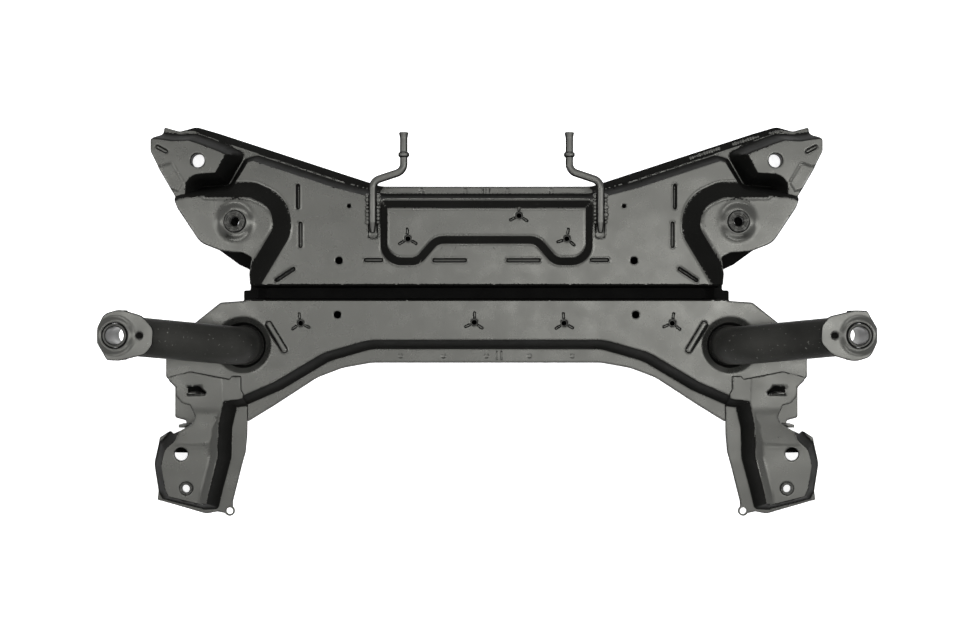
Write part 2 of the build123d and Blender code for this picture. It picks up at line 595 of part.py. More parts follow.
SINGLE = {
    "rear_upper_panel": rear_upper_panel,
    "front_upper_panel": front_upper_panel,
    "lower_panel": lower_panel,
    "inner_cross_rib": inner_cross_rib,
}
PAIRED = {
    "front_arm": front_arm,
    "arm_lower_plate": arm_lower_plate,
    "arm_pivot_bracket": arm_pivot_bracket,
    "arm_nut": arm_nut,
    "mount_tube": mount_tube,
    "tube_end_sleeve": tube_end_sleeve,
    "rear_mount_collar": rear_mount_collar,
    "bush_nut": bush_nut,
    "hanger_rod": hanger_rod,
    "inner_rib": inner_rib,
}

shapes = {name: make() for name, make in SINGLE.items()}
shapes["rear_panel_weld_nuts"] = panel_nuts(PANEL_HOLES_REAR, FIELD_HEIGHT - SHEET)
shapes["front_panel_weld_nuts"] = panel_nuts(PANEL_HOLES_FRONT, BEAM_HEIGHT - SHEET)
for name, make in PAIRED.items():
    right = make()
    shapes[name + "_right"] = right
    shapes[name + "_left"] = mirror(right, about=Plane.YZ)
for side in SIDES:
    shapes["tube_end_bracket_" + side] = tube_end_bracket(side)

# The origin lies on the underside, in the middle of the overall length and width.
extent = Compound(list(shapes.values())).bounding_box()
centring = Pos(0, -(extent.min.Y + extent.max.Y) / 2, 0)

os.makedirs("parts", exist_ok=True)
for name, shape in shapes.items():
    export_step(centring * shape, f"parts/{name}.step")
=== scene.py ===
from math import ceil, cos, hypot, pi, radians, sin, tan

import bmesh
import bpy
import numpy as np
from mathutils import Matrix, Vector
from mathutils.geometry import delaunay_2d_cdt


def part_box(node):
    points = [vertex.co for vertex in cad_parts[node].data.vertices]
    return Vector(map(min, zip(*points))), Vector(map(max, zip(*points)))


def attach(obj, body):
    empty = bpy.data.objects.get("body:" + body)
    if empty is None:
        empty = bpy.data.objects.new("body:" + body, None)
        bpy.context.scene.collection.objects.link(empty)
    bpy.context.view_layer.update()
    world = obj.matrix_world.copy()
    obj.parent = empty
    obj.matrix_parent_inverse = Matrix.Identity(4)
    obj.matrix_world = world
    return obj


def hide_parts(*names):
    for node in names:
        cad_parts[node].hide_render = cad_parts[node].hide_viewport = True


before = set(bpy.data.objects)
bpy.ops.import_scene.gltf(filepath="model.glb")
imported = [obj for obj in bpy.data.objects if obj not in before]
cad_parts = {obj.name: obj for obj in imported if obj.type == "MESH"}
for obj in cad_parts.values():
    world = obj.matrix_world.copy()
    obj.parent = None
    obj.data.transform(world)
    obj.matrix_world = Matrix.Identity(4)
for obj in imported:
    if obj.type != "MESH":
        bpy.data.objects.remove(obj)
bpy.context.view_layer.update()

# Lower pressing. One sheet of 2.6 mm steel pressed to a shallow tray, with a flat rim that both upper
# pressings are welded to. It is trimmed along the same line as they are, a few millimetres proud of
# the rear pressing at the bush pads.
SHEET = 2.6
REAR_MOUNT = (374.5, 209.5)
BUSH = (323.0, 129.0)
TUBE_FOOT = (317.0, -30.0)
ARM_MOUNT = (403.0, -175.0)
REAR_EDGE = 179.8
FRONT_EDGE = -54.0
GROOVE_REAR = 45.3
GROOVE_FRONT = 31.7
LOWER_RIM = 18.0
UPPER_RIM = 20.6

# The CAD is centred from front to back. Places here are drawn before that shift.
collar_low, collar_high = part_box("rear_mount_collar_right")
SHIFT_Y = (collar_low[1] + collar_high[1]) / 2 * 1000 - REAR_MOUNT[1]


def about(place, corners):
    """Corners (dx, dy, radius) given from a mount, as corners in the common frame."""
    return [(place[0] + dx, place[1] + dy, radius) for dx, dy, radius in corners]


def mirrored(outline):
    """The same outline on the left side."""
    return [(-x, y, radius) for x, y, radius in outline]


def both_sides(half):
    """A closed outline from its right half."""
    return half + [(-x, y, radius) for x, y, radius in reversed(half)]


def both(x, y):
    """A place and its mirror place."""
    return [(x, y), (-x, y)]


def inset(outline, distance):
    """The outline moved inwards, with its corner radii kept concentric."""
    points = [(x, y) for x, y, _ in outline]
    count = len(points)
    area = sum(points[i - 1][0] * points[i][1] - points[i][0] * points[i - 1][1] for i in range(count))
    turn = 1 if area > 0 else -1
    moved = []
    for i, (x, y, radius) in enumerate(outline):
        before, after = points[i - 1], points[(i + 1) % count]
        ax, ay = x - before[0], y - before[1]
        bx, by = after[0] - x, after[1] - y
        ax, ay = ax / hypot(ax, ay), ay / hypot(ax, ay)
        bx, by = bx / hypot(bx, by), by / hypot(bx, by)
        reach = distance * turn / (1 + ax * bx + ay * by)
        if radius > 0:
            hollow = turn * (ax * by - ay * bx) < 0
            radius = max(radius + distance if hollow else radius - distance, 0.5)
        moved.append((x - (ay + by) * reach, y + (ax + bx) * reach, radius))
    return moved


def rounded_path(outline, pitch=2.0, closed=True, plain=False):
    """Points about a pitch apart along an outline with rounded corners, on its bends alone if plain."""
    count = len(outline)
    bends = []
    for i, (x, y, radius) in enumerate(outline):
        here = np.array([x, y])
        if not closed and i in (0, count - 1):
            bends.append([here])
            continue
        back = np.array(outline[i - 1][:2]) - here
        ahead = np.array(outline[(i + 1) % count][:2]) - here
        back, ahead = back / np.linalg.norm(back), ahead / np.linalg.norm(ahead)
        half = np.arccos(np.clip(back @ ahead, -1, 1)) / 2
        if radius < 0.01 or half > radians(89.5):
            bends.append([here])
            continue
        reach = radius / tan(half)
        middle = here + (back + ahead) / np.linalg.norm(back + ahead) * reach / cos(half)
        start = here + back * reach - middle
        sweep = pi - 2 * half
        turn = 1 if start[0] * (-back[1]) - start[1] * (-back[0]) > 0 else -1
        steps = max(2, ceil(sweep * np.linalg.norm(start) / pitch))
        arc = []
        for k in range(steps + 1):
            angle = turn * sweep * k / steps
            c, s = cos(angle), sin(angle)
            arc.append(middle + np.array([start[0] * c - start[1] * s, start[0] * s + start[1] * c]))
        bends.append(arc)
    path = []
    for i, bend in enumerate(bends):
        path.extend(bend)
        if not closed and i == count - 1:
            break
        gap = bends[(i + 1) % count][0] - bend[-1]
        parts = 0 if plain else int(np.linalg.norm(gap) / pitch)
        path.extend(bend[-1] + gap * k / (parts + 1) for k in range(1, parts + 1))
    return np.array(path)


def capsule(start, end, width):
    """The outline of a slot with round ends between two places."""
    (ax, ay), (bx, by) = start, end
    length, half = hypot(bx - ax, by - ay), width / 2
    ux, uy = (bx - ax) / length * half, (by - ay) / length * half
    radius = half * 0.96
    return [(ax - ux - uy, ay - uy + ux, radius), (bx + ux - uy, by + uy + ux, radius),
            (bx + ux + uy, by + uy - ux, radius), (ax - ux + uy, ay - uy - ux, radius)]


def ring_path(place, radius, pitch):
    """Points about a pitch apart round a circle."""
    count = max(20, ceil(2 * pi * radius / pitch))
    turns = np.arange(count) * 2 * pi / count
    return np.stack([place[0] + radius * np.cos(turns), place[1] + radius * np.sin(turns)], axis=1)


def depth_inside(points, path):
    """Distance of each point inside a closed path, negative outside, and its gradient."""
    ends = np.roll(path, -1, axis=0)
    along = ends - path
    length = (along ** 2).sum(1) + 1e-12
    depth = np.empty(len(points))
    slope = np.empty((len(points), 2))
    batch = 3000
    for first in range(0, len(points), batch):
        some = points[first:first + batch]
        away = some[:, None, :] - path[None]
        share = np.clip((away * along).sum(2) / length, 0, 1)
        away = away - along * share[..., None]
        square = (away ** 2).sum(2)
        nearest = square.argmin(1)
        rows = np.arange(len(some))
        distance = np.sqrt(square[rows, nearest]) + 1e-9
        x, y = some[:, :1], some[:, 1:]
        spans = (path[:, 1] > y) != (ends[:, 1] > y)
        rise = np.where(np.abs(along[:, 1]) < 1e-12, 1e-12, along[:, 1])
        left = x < along[:, 0] * (y - path[:, 1]) / rise + path[:, 0]
        sign = np.where((spans & left).sum(1) % 2 == 1, 1.0, -1.0)
        depth[first:first + batch] = sign * distance
        slope[first:first + batch] = sign[:, None] * away[rows, nearest] / distance[:, None]
    return depth, slope


def soft_ramp(depth, run, fold):
    """A wall that climbs from 0 to 1 over its run, with a round fold at foot and top, and its slope."""
    def bend(s):
        height = np.where(s < -fold, 0.0, np.where(s > fold, s, (s + fold) ** 2 / (4 * fold)))
        return height, np.clip((s + fold) / (2 * fold), 0, 1)
    low, low_slope = bend(depth)
    high, high_slope = bend(depth - run)
    return (low - high) / run, (low_slope - high_slope) / run


class Step:
    """A level pressed up or down inside an outline, whose wall leans inwards by its run.

    Where another fold crosses the wall, crease gives the depth of its line. A falling step lets
    everything outside the outline drop to its start.
    """

    def __init__(self, outline, start, end, run, fold=2.4, blend=1.6, crease=None, falling=False):
        self.start, self.end, self.run = start, end, run
        self.fold = min(fold, run / 2)
        self.blend = blend
        self.crease, self.falling = crease, falling
        self.round = not isinstance(outline[0], tuple)
        self.outline = outline
        if self.round:
            self.path = ring_path(outline[:2], outline[2], 1.2)
        else:
            self.path = rounded_path(outline, plain=True)

    def rows(self):
        """Lines of mesh points along both folds, closer together on a small mark."""
        fold, run = self.fold, self.run
        small = np.ptp(self.path, axis=0).max() < 50
        depths = [-fold, -fold / 2, 0, fold / 2, fold]
        depths += [run - fold, run - fold / 2, run, run + fold / 2, run + fold]
        if self.crease:
            depths += [self.crease + away for away in (-1.0, 0, 1.0)]
        for depth in depths:
            if self.round:
                if self.outline[2] - depth > 0.3:
                    yield ring_path(self.outline[:2], self.outline[2] - depth, 1.6)
            else:
                yield rounded_path(inset(self.outline, depth), 1.2 if small else 2.6)

    def press(self, points, height, slope):
        """The surface after this step."""
        low, high = self.path.min(0) - self.fold, self.path.max(0) + self.fold
        near = ((points > low).all(1) & (points < high).all(1)) | self.falling
        height, slope = height.copy(), slope.copy()
        height[near], slope[near] = self.press_near(points[near], height[near], slope[near])
        return height, slope

    def press_near(self, points, height, slope):
        """The surface after this step, for points round its outline."""
        depth, lean = depth_inside(points, self.path)
        share, share_slope = soft_ramp(depth, self.run, self.fold)
        rise = self.end - self.start
        own = self.start + rise * share
        own_slope = rise * share_slope[:, None] * lean
        up = 1 if rise > 0 and not self.falling else -1
        mix = np.clip(0.5 + 0.5 * up * (own - height) / self.blend, 0, 1)
        new = height * (1 - mix) + own * mix + up * self.blend * mix * (1 - mix)
        new_slope = slope * (1 - mix[:, None]) + own_slope * mix[:, None]
        reached = (depth > -self.fold) | self.falling
        return np.where(reached, new, height), np.where(reached[:, None], new_slope, slope)


def placed(name, data):
    """A new object in the scene."""
    thing = bpy.data.objects.new(name, data)
    bpy.context.scene.collection.objects.link(thing)
    return thing


# One mesh point to a square this wide, and this far from the trimmed edge and from holes.
POINT_GAP, EDGE_GAP, HOLE_GAP = 0.85, 0.4, 0.35
# The trimming tool rolls a cut edge over, so wide and so deep.
ROLL_WIDTH, ROLL_DROP = 1.6, 0.8


def pressed_sheet(name, trim, flange, steps, holes, last=None, pitch=6.0, thickness=SHEET, skirt=None):
    """A sheet pressed over its steps, trimmed and punched, as a closed mesh with true fold normals.

    A hole is a circle (x, y, radius) or an outline. A skirt (edge radius, foot heights) folds the
    trimmed edge straight down, as deep at each point as its second part says.
    """
    edge = rounded_path(trim, 2.0)
    slots = [rounded_path(hole, 0.8) for hole in holes if isinstance(hole, list)]
    holes = [hole for hole in holes if isinstance(hole, tuple)]
    rings = [ring_path(hole[:2], hole[2], 1.0) for hole in holes]
    fixed = [edge] + rings + slots
    depths = (0.3, 0.8, 1.6, 2.6, 3.8, 5.0, 6.2) if skirt else (0.6, 1.4, 3.0)
    loose = [rounded_path(inset(trim, depth), 2.2) for depth in depths]
    for hole in holes:
        loose += [ring_path(hole[:2], hole[2] + depth, 1.3) for depth in (0.5, 1.2, 2.6)]
    for step in steps:
        loose += list(step.rows())
    if last:
        loose += last.rows()
    low, high = edge.min(0), edge.max(0)
    grid_x, grid_y = np.meshgrid(np.arange(low[0], high[0], pitch), np.arange(low[1], high[1], pitch * 0.87))
    grid_x[1::2] += pitch / 2
    loose.append(np.stack([grid_x.ravel(), grid_y.ravel()], axis=1))
    loose = np.concatenate(loose)
    near = (loose > low - 1).all(1) & (loose < high + 1).all(1)
    loose = loose[near]
    plain_edge = rounded_path(trim, 2.0, plain=True)
    depth, _ = depth_inside(loose, plain_edge)
    keep = depth > EDGE_GAP
    for hole in holes:
        keep &= np.hypot(loose[:, 0] - hole[0], loose[:, 1] - hole[1]) > hole[2] + HOLE_GAP
    for slot in slots:
        keep &= depth_inside(loose, slot)[0] < -HOLE_GAP
    loose = loose[keep]
    cells = np.floor(loose / POINT_GAP).astype(int)
    _, first = np.unique(cells, axis=0, return_index=True)
    loose = loose[np.sort(first)]

    edges, start = [], 0
    for ring in fixed:
        edges += [(start + k, start + (k + 1) % len(ring)) for k in range(len(ring))]
        start += len(ring)
    flat = np.concatenate(fixed + [loose])
    result = delaunay_2d_cdt([Vector(p) for p in flat], edges, [], 0, 1e-4)
    points = np.array([tuple(p) for p in result[0]])
    faces = np.array([f for f in result[2] if len(f) == 3])
    centres = points[faces].mean(1)
    inside = depth_inside(centres, plain_edge)[0] > 0
    for hole in holes:
        inside &= np.hypot(centres[:, 0] - hole[0], centres[:, 1] - hole[1]) > hole[2]
    for slot in slots:
        inside &= depth_inside(centres, slot)[0] < 0
    faces = faces[inside]
    a, b, c = points[faces[:, 0]], points[faces[:, 1]], points[faces[:, 2]]
    area = (b[:, 0] - a[:, 0]) * (c[:, 1] - a[:, 1]) - (b[:, 1] - a[:, 1]) * (c[:, 0] - a[:, 0])
    faces = faces[np.abs(area) > 1e-6]
    area = area[np.abs(area) > 1e-6]
    faces[area < 0] = faces[area < 0][:, ::-1]
    used, faces = np.unique(faces, return_inverse=True)
    faces = faces.reshape(-1, 3)
    points = points[used]

    height = np.full(len(points), float(flange))
    slope = np.zeros((len(points), 2))
    for step in steps:
        height, slope = step.press(points, height, slope)
    if last:
        height, slope = last.press(points, height, slope)
    margin, lean = depth_inside(points, plain_edge)
    if skirt:
        radius, foot = skirt
        reach = radius - np.clip(margin, 0, radius)
        drop = np.sqrt(np.maximum(radius ** 2 - reach ** 2, 0))
        height = height - radius + drop
        slope = slope + (np.minimum(reach / np.maximum(drop, 1e-6), 12)[:, None]) * lean
        at_edge = margin < 0.05
        margin = np.full(len(points), 99.0)
    # How far each point lies from the nearest cut edge, and which way.
    for hole in holes:
        away = points - np.array(hole[:2])
        distance = np.linalg.norm(away, axis=1) + 1e-9
        nearer = distance - hole[2] < margin
        margin = np.where(nearer, distance - hole[2], margin)
        lean = np.where(nearer[:, None], away / distance[:, None], lean)
    for slot in slots:
        depth, away = depth_inside(points, slot)
        nearer = -depth < margin
        margin = np.where(nearer, -depth, margin)
        lean = np.where(nearer[:, None], -away, lean)
    roll = np.clip(1 - margin / ROLL_WIDTH, 0, 1)
    height = height - ROLL_DROP * roll ** 2
    slope = slope + (roll * (1 + roll))[:, None] * lean

    normal = np.concatenate([-slope, np.ones((len(points), 1))], axis=1)
    normal /= np.linalg.norm(normal, axis=1)[:, None]
    top = np.concatenate([points, height[:, None]], axis=1)
    under = top - normal * (thickness - ROLL_DROP * roll ** 2)[:, None]
    # Near a cut edge the underside lies straight below the top, so that the cut is square.
    at_margin = margin < 2.0
    under[at_margin, :2] = points[at_margin]
    under[at_margin, 2] = (height + ROLL_DROP * roll ** 2 - thickness)[at_margin]
    count = len(points)
    pairs = np.concatenate([faces[:, [0, 1]], faces[:, [1, 2]], faces[:, [2, 0]]])
    seen = {(int(p), int(q)) for p, q in pairs}
    rim = [(p, q) for p, q in seen if (q, p) not in seen]
    all_faces = [tuple(f) for f in faces.tolist()]
    all_faces += [(f[2] + count, f[1] + count, f[0] + count) for f in faces.tolist()]
    corner_normals = list(normal[faces.ravel()]) + list(-normal[faces[:, ::-1].ravel()])
    all_points = np.concatenate([top, under])
    if skirt:
        # Copies of both skins at the foot of the skirt.
        all_points = np.concatenate([all_points, all_points])
        all_points[2 * count:, 2] = foot(all_points[2 * count:, :2])
    for p, q in rim:
        side = points[q] - points[p]
        outward = np.array([side[1], -side[0], 0.0]) / (np.linalg.norm(side) + 1e-9)
        if skirt and at_edge[p] and at_edge[q]:
            ring = [p, p + 2 * count, p + 3 * count, p + count]
            ring_q = [q, q + 2 * count, q + 3 * count, q + count]
            for k, facing in enumerate((outward, np.array([0.0, 0.0, -1.0]), -outward)):
                all_faces.append((ring_q[k], ring[k], ring[k + 1], ring_q[k + 1]))
                corner_normals += [facing] * 4
        else:
            all_faces.append((q, p, p + count, q + count))
            corner_normals += [outward] * 4
    # Painted edge shade: how strongly each point is darkened, full at a cut edge and none 1.5 mm in.
    cut = np.clip(1 - margin / 1.5, 0, 1)
    cut = np.concatenate([cut] * (len(all_points) // count))
    all_points[:, 1] += SHIFT_Y
    mesh = bpy.data.meshes.new(name)
    mesh.from_pydata((all_points / 1000).tolist(), [], all_faces)
    mesh.normals_split_custom_set([tuple(n) for n in corner_normals])
    mesh.attributes.new("painted_edge_shade", "FLOAT", "POINT").data.foreach_set("value", cut)
    return placed(name, mesh)


def shader(nodes, kind, values):
    """A new shader node with some of its inputs set."""
    node = nodes.new("ShaderNode" + kind)
    for entry, value in values.items():
        node.inputs[entry].default_value = value
    return node


def black_coat(name, colour, roughness, shine=1.0, mottle=0.25, grain=0.05, dust=0.35):
    """Electrocoat on steel: a dark satin skin with a fine orange peel, faint mottling and dust, and painted
    shade along cut edges.
    """
    material = bpy.data.materials.new(name)
    material.use_nodes = True
    nodes, links = material.node_tree.nodes, material.node_tree.links
    skin = nodes["Principled BSDF"]
    place = nodes.new("ShaderNodeTexCoord")

    def noise(scale, detail):
        node = shader(nodes, "TexNoise", {"Scale": scale, "Detail": detail})
        links.new(place.outputs["Object"], node.inputs["Vector"])
        return node.outputs["Fac"]

    def ramp(source, values):
        node = shader(nodes, "MapRange", values)
        links.new(source, node.inputs["Value"])
        return node.outputs["Result"]

    def spread(source, low, high):
        return ramp(source, {"From Min": 0.3, "From Max": 0.7, "To Min": low, "To Max": high})

    def mix(share, values):
        node = shader(nodes, "MixRGB", values)
        links.new(share, node.inputs[0])
        return node

    cloud = noise(14, 5)
    fine = noise(420, 3)
    tones = [(*[c * part for c in colour], 1) for part in (1 - mottle, 1 + mottle)]
    tone = mix(spread(cloud, 0, 1), {1: tones[0], 2: tones[1]})
    speckle = ramp(noise(260, 8), {"From Min": 0.66, "From Max": 0.78, "To Max": dust})
    dusty = mix(speckle, {2: (0.3, 0.3, 0.28, 1)})
    links.new(tone.outputs[0], dusty.inputs[1])
    # Painted shade: along a cut edge or hole the base colour goes near black, standing in for the shade at
    # the sheet's edges and laps.
    edge = nodes.new("ShaderNodeAttribute")
    edge.attribute_name = "painted_edge_shade"
    painted_edge_shade_mix = mix(edge.outputs["Fac"], {2: (0.002, 0.002, 0.002, 1)})
    links.new(dusty.outputs[0], painted_edge_shade_mix.inputs[1])
    links.new(painted_edge_shade_mix.outputs[0], skin.inputs["Base Color"])
    links.new(spread(noise(40, 4), roughness - 0.05, roughness + 0.07), skin.inputs["Roughness"])
    skin.inputs["Specular IOR Level"].default_value = shine
    skin.inputs["Specular Tint"].default_value = (1.0, 1.0, 0.93, 1)
    # Slow waves in the sheet, and a fine orange peel on top of them.
    waves = shader(nodes, "Bump", {"Strength": 0.6, "Distance": 0.005})
    links.new(noise(9, 2), waves.inputs["Height"])
    peel = shader(nodes, "Bump", {"Strength": grain, "Distance": 0.0006})
    links.new(fine, peel.inputs["Height"])
    links.new(waves.outputs["Normal"], peel.inputs["Normal"])
    links.new(peel.outputs["Normal"], skin.inputs["Normal"])
    return material


# Painted shade: steep walls, the sides of the rods and the caps' skirts get this near-black, almost
# unreflecting coat, which stands in for the shade on them.
painted_shade_wall_coat = black_coat("painted_shade_wall_coat", (0.006, 0.006, 0.0056), 0.6, shine=0.03, dust=0.06)


def coat_where(piece, coat, chosen):
    """Gives a second coat to the faces that the function chosen picks."""
    piece.data.materials.append(coat)
    for face in piece.data.polygons:
        face.material_index = int(chosen(face))


def finish_piece(piece, material, slot, *nodes, steep=None):
    """Paints a piece, hangs it on the part and lets it stand for its CAD nodes.

    Faces whose normal rises less than steep get the near-black coat that paints the shade of steep walls.
    """
    piece.data.materials.clear()
    piece.data.materials.append(material)
    if steep:
        coat_where(piece, painted_shade_wall_coat, lambda face: abs(face.normal.z) < steep)
    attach(piece, "root")
    if nodes:
        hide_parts(*nodes)


EAR_REAR = about(REAR_MOUNT, [(-20, 41, 60), (11, 50, 14), (32, 43, 8), (53, 49, 2)])
ARM_NECK = about(ARM_MOUNT, [(-46, 94, 4), (-60, 70, 8), (-87, 43, 2)])
FRONT_CURVE = about(ARM_MOUNT, [(-122, 64.5, 60), (-178, 101, 60)])
FRONT_CURVE = FRONT_CURVE + [(191, FRONT_EDGE - 7, 60), (152, FRONT_EDGE, 60)]
LOWER_TRIM = (
    [(138, REAR_EDGE, 30)] + EAR_REAR
    + about(REAR_MOUNT, [(48, 32, 4), (55, 24, 4), (55, 11, 8), (43, -13, 20)])
    + about(BUSH, [(70, 22, 20), (44, -21, 10), (34, -32, 8), (5, -53, 12), (-10, -60, 4)])
    + about(TUBE_FOOT, [(-4, 72, 2), (5, 72, 2), (5, 58, 2), (29, 54, 6)])
    + about(ARM_MOUNT, [(-28, 172, 4), (12, 126, 3), (12, 103, 4), (2, 91, 4)])
    + ARM_NECK + FRONT_CURVE
)
TRAY = (
    [(138, REAR_EDGE - 19, 20)]
    + about(REAR_MOUNT, [(-178.5, -35.5, 16), (-82.5, -4.5, 12), (-62.5, -31.5, 14)])
    + about(BUSH, [(-45, 23, 20), (-60, -3, 20), (-35, -69, 10)])
    + about(TUBE_FOOT, [(-13, 78, 6), (-13, 58, 6), (33, 40, 10), (73, -14, 10), (73, -40, 8)])
    + about(ARM_MOUNT, [(-73, 77, 12), (-118, 85, 15), (-177, 121, 40)])
    + [(190, FRONT_EDGE + 11, 40), (150, FRONT_EDGE + 17, 30)]
)
lower_holes = [(x, y, 7.5) for x, y in both(*BUSH)] + [(x, y, 23.0) for x, y in both(*REAR_MOUNT)]
lower_holes += [(x, y, 15.0) for x, y in both(72, 100) + both(200, 120) + [(0, 120)] + both(150, -5)]
# Along both slants of the rear edge the flange is rolled down towards its edge.
EDGE_FALL = [
    (180, 600, 0), (146, 182.4, 0), (354.5, 250.5, 60), (385.5, 263, 20), (402, 263, 0), (402, 600, 0),
    (700, 600, 0), (700, -500, 0),
]
lower_steps = [
    Step(both_sides(EDGE_FALL), 9.0, 19.7, 9.5, falling=True, blend=1.2),
    Step(both_sides(TRAY), LOWER_RIM, SHEET, 10.0),
]
lower = pressed_sheet("lower_pressing", both_sides(LOWER_TRIM), LOWER_RIM, lower_steps, lower_holes,
                      pitch=9.0)
inner_coat = black_coat("inner_coat", (0.008, 0.008, 0.0075), 0.6, shine=0.5)
finish_piece(lower, inner_coat, "inner_coat", "lower_panel")
# Painted shade: the lower pressing's upward faces inside the boxes and down the groove get a near-black,
# almost unreflecting coat, which stands in for the shade there.
painted_shade_box_coat = black_coat("painted_shade_box_coat", (0.003, 0.003, 0.003), 0.85, shine=0.08, dust=0.02)
coat_where(lower, painted_shade_box_coat, lambda face: face.normal.z > 0.1 and (
    face.center.y > -0.06 or abs(face.center.x) < 0.39))

# Front upper pressing. It closes the front box and is trimmed in a shallow curve along the front. A
# round dish is sunk into it where each raised tube passes through, and both walls are folded down.
TUBE_RADIUS = 24.3
FRONT_PLATEAU = [(ARM_MOUNT[0] + 77, GROOVE_FRONT + 60, 0)] + about(ARM_MOUNT, [
    (77, 63, 0), (-53, 63, 10), (-85, 67, 30), (-131, 87, 40),
]) + [(208, FRONT_EDGE + 4, 60), (152, FRONT_EDGE + 20, 60)]
FRONT_TRIM = (
    [(TUBE_FOOT[0] - 12, GROOVE_FRONT, 2)] + about(TUBE_FOOT, [(-1, 57.5, 6), (29, 55.5, 8)])
    + about(ARM_MOUNT, [(-25, 175, 4), (14, 130, 4), (14, 103, 4), (6, 97, 3)]) + ARM_NECK + FRONT_CURVE
)
TRAY_END = 290


class GrooveWall:
    """The wall folded down along the groove between both upper pressings."""

    def __init__(self, y, inward, length):
        self.y, self.inward, self.length = y, inward, length

    def rows(self):
        """Lines of mesh points along the fold."""
        across = np.arange(-self.length, self.length, 2.6)
        return [np.stack([across, np.full(len(across), self.y + self.inward * d)], axis=1)
                for d in (0.45, 0.9, 1.8, 2.6, 3.4, 4.4)]

    def press(self, points, height, slope):
        """The surface let down to the tray along the groove, and to the rim beyond the tray's end."""
        depth = self.inward * (points[:, 1] - self.y)
        share, share_slope = soft_ramp(depth - 1.0, 1.6, 0.8)
        floor = np.where(np.abs(points[:, 0]) < TRAY_END, SHEET, LOWER_RIM)
        slope = slope * share[:, None]
        slope[:, 1] += (height - floor) * share_slope * self.inward
        return floor + (height - floor) * share, slope


def nut_marks(place, level, turn):
    """Three short dents round a hole, over the projections of the weld nut below."""
    marks = []
    for angle in (turn, turn + 118, turn + 236):
        ax, ay = cos(radians(angle)), sin(radians(angle))
        start = (place[0] + 6.8 * ax, place[1] + 6.8 * ay)
        end = (place[0] + 12.5 * ax, place[1] + 12.5 * ay)
        marks.append(Step(capsule(start, end, 3.8), level, level - 1.9, 1.2, fold=0.5, blend=0.3))
    return marks


def spot_weld(place, level):
    """The round dent that a spot weld leaves."""
    return Step((*place, 3.6), level, level - 0.7, 1.4, fold=0.6, blend=0.2)


BOX_TOP = 58.0
DISH_LEVEL = 55.6
front_steps = [Step(both_sides(FRONT_PLATEAU), UPPER_RIM, BOX_TOP, 9.0, fold=3.6)]
for x, y in both(*TUBE_FOOT):
    front_steps.append(Step((x, y, TUBE_RADIUS + 13.5), BOX_TOP, DISH_LEVEL, 9.0, fold=2.2, blend=0.6))
    front_steps.append(Step((x, y, TUBE_RADIUS + 4.4), DISH_LEVEL, 46.0, 3.6, fold=1.2, blend=0.6))
for sign in (-1, 1):
    # A stiffening bead runs from each dish to the front wall.
    bead = capsule((sign * 283, -3), (sign * 263, -36), 11)
    front_steps.append(Step(bead, BOX_TOP, 60.6, 3.4, fold=1.4, blend=0.6))
front_holes = [(x, y, TUBE_RADIUS + 0.2) for x, y in both(*TUBE_FOOT)]
FRONT_NUTS = [
    (-242, FRONT_EDGE + 52.5), (-16, FRONT_EDGE + 53.5), (101, FRONT_EDGE + 52.5), (242, FRONT_EDGE + 52.5),
]
NUT_HOLE = 4.3
for place, turn in zip(FRONT_NUTS, (98, 88, 95, 84)):
    front_steps += nut_marks(place, BOX_TOP, turn)
for x in (0, 57, 114):
    front_steps += [spot_weld(place, UPPER_RIM) for place in both(x, FRONT_EDGE + 9)]
# Two small witness bars of the press tool stand on the flange.
for x in (14, 20):
    bar = capsule((x, FRONT_EDGE + 5), (x, FRONT_EDGE + 14), 3.4)
    front_steps.append(Step(bar, UPPER_RIM, 21.7, 1.2, fold=0.6, blend=0.3))
front_holes += [(x, y, NUT_HOLE) for x, y in FRONT_NUTS + both(194, FRONT_EDGE + 63.5)]
ARM_SLOT = about(ARM_MOUNT, [(-15, 90.5, 1.5), (-29, 92, 6), (-42, 80.5, 1.5), (-28, 83, 6), (-15, 81, 1.5)])
WIDE_SLOT = inset(ARM_SLOT, -3.0)
front_holes += [WIDE_SLOT, mirrored(WIDE_SLOT)]
front = pressed_sheet("front_upper_pressing", both_sides(FRONT_TRIM), UPPER_RIM, front_steps, front_holes,
                      GrooveWall(GROOVE_FRONT, -1, 323))
panel_coat = black_coat("panel_coat", (0.011, 0.0112, 0.0102), 0.27, shine=0.62, dust=0.12)
finish_piece(front, panel_coat, "panel_coat", "front_upper_panel", steep=0.84)

# Rear upper pressing. The largest piece: box top with a raised middle field, a high pad with a cone
# for the weld nut of each rear bush, and an ear with the rear body mount at each corner.
EAR_SIDE = about(REAR_MOUNT, [(54, 36, 3), (61, 27, 3), (61, 12, 10), (49, -12, 20)])
PAD_SIDE = about(BUSH, [(81, 35, 3), (75, 18, 20), (45, -27, 26), (17, -38, 26), (-9, -40, 6)])
PANEL_END = about(BUSH, [(-21, -46, 4), (-17, -67, 2), (-17, GROOVE_REAR - BUSH[1], 0)])
REAR_TRIM = [(138, REAR_EDGE, 30)] + EAR_REAR + EAR_SIDE + PAD_SIDE + PANEL_END
REAR_PLATEAU = [(135, REAR_EDGE - 12, 40)] + about(REAR_MOUNT, [
    (-180.5, -26.5, 30), (-70.5, 9.5, 12), (-57.5, 5.5, 6), (-36.5, -28.5, 5), (19.5, -33.5, 10),
    (105.5, -59.5, 0),
]) + [(REAR_MOUNT[0] + 105.5, GROOVE_REAR - 60, 0)]
REAR_LEVEL = [(BUSH[0] + 43, REAR_MOUNT[1] + 60, 0)] + about(BUSH, [
    (43, 30, 6), (-17, 30, 16), (-43, 18, 24), (-47, -7, 20), (-5, -77, 0),
]) + [(BUSH[0] - 5, GROOVE_REAR - 60, 0)]
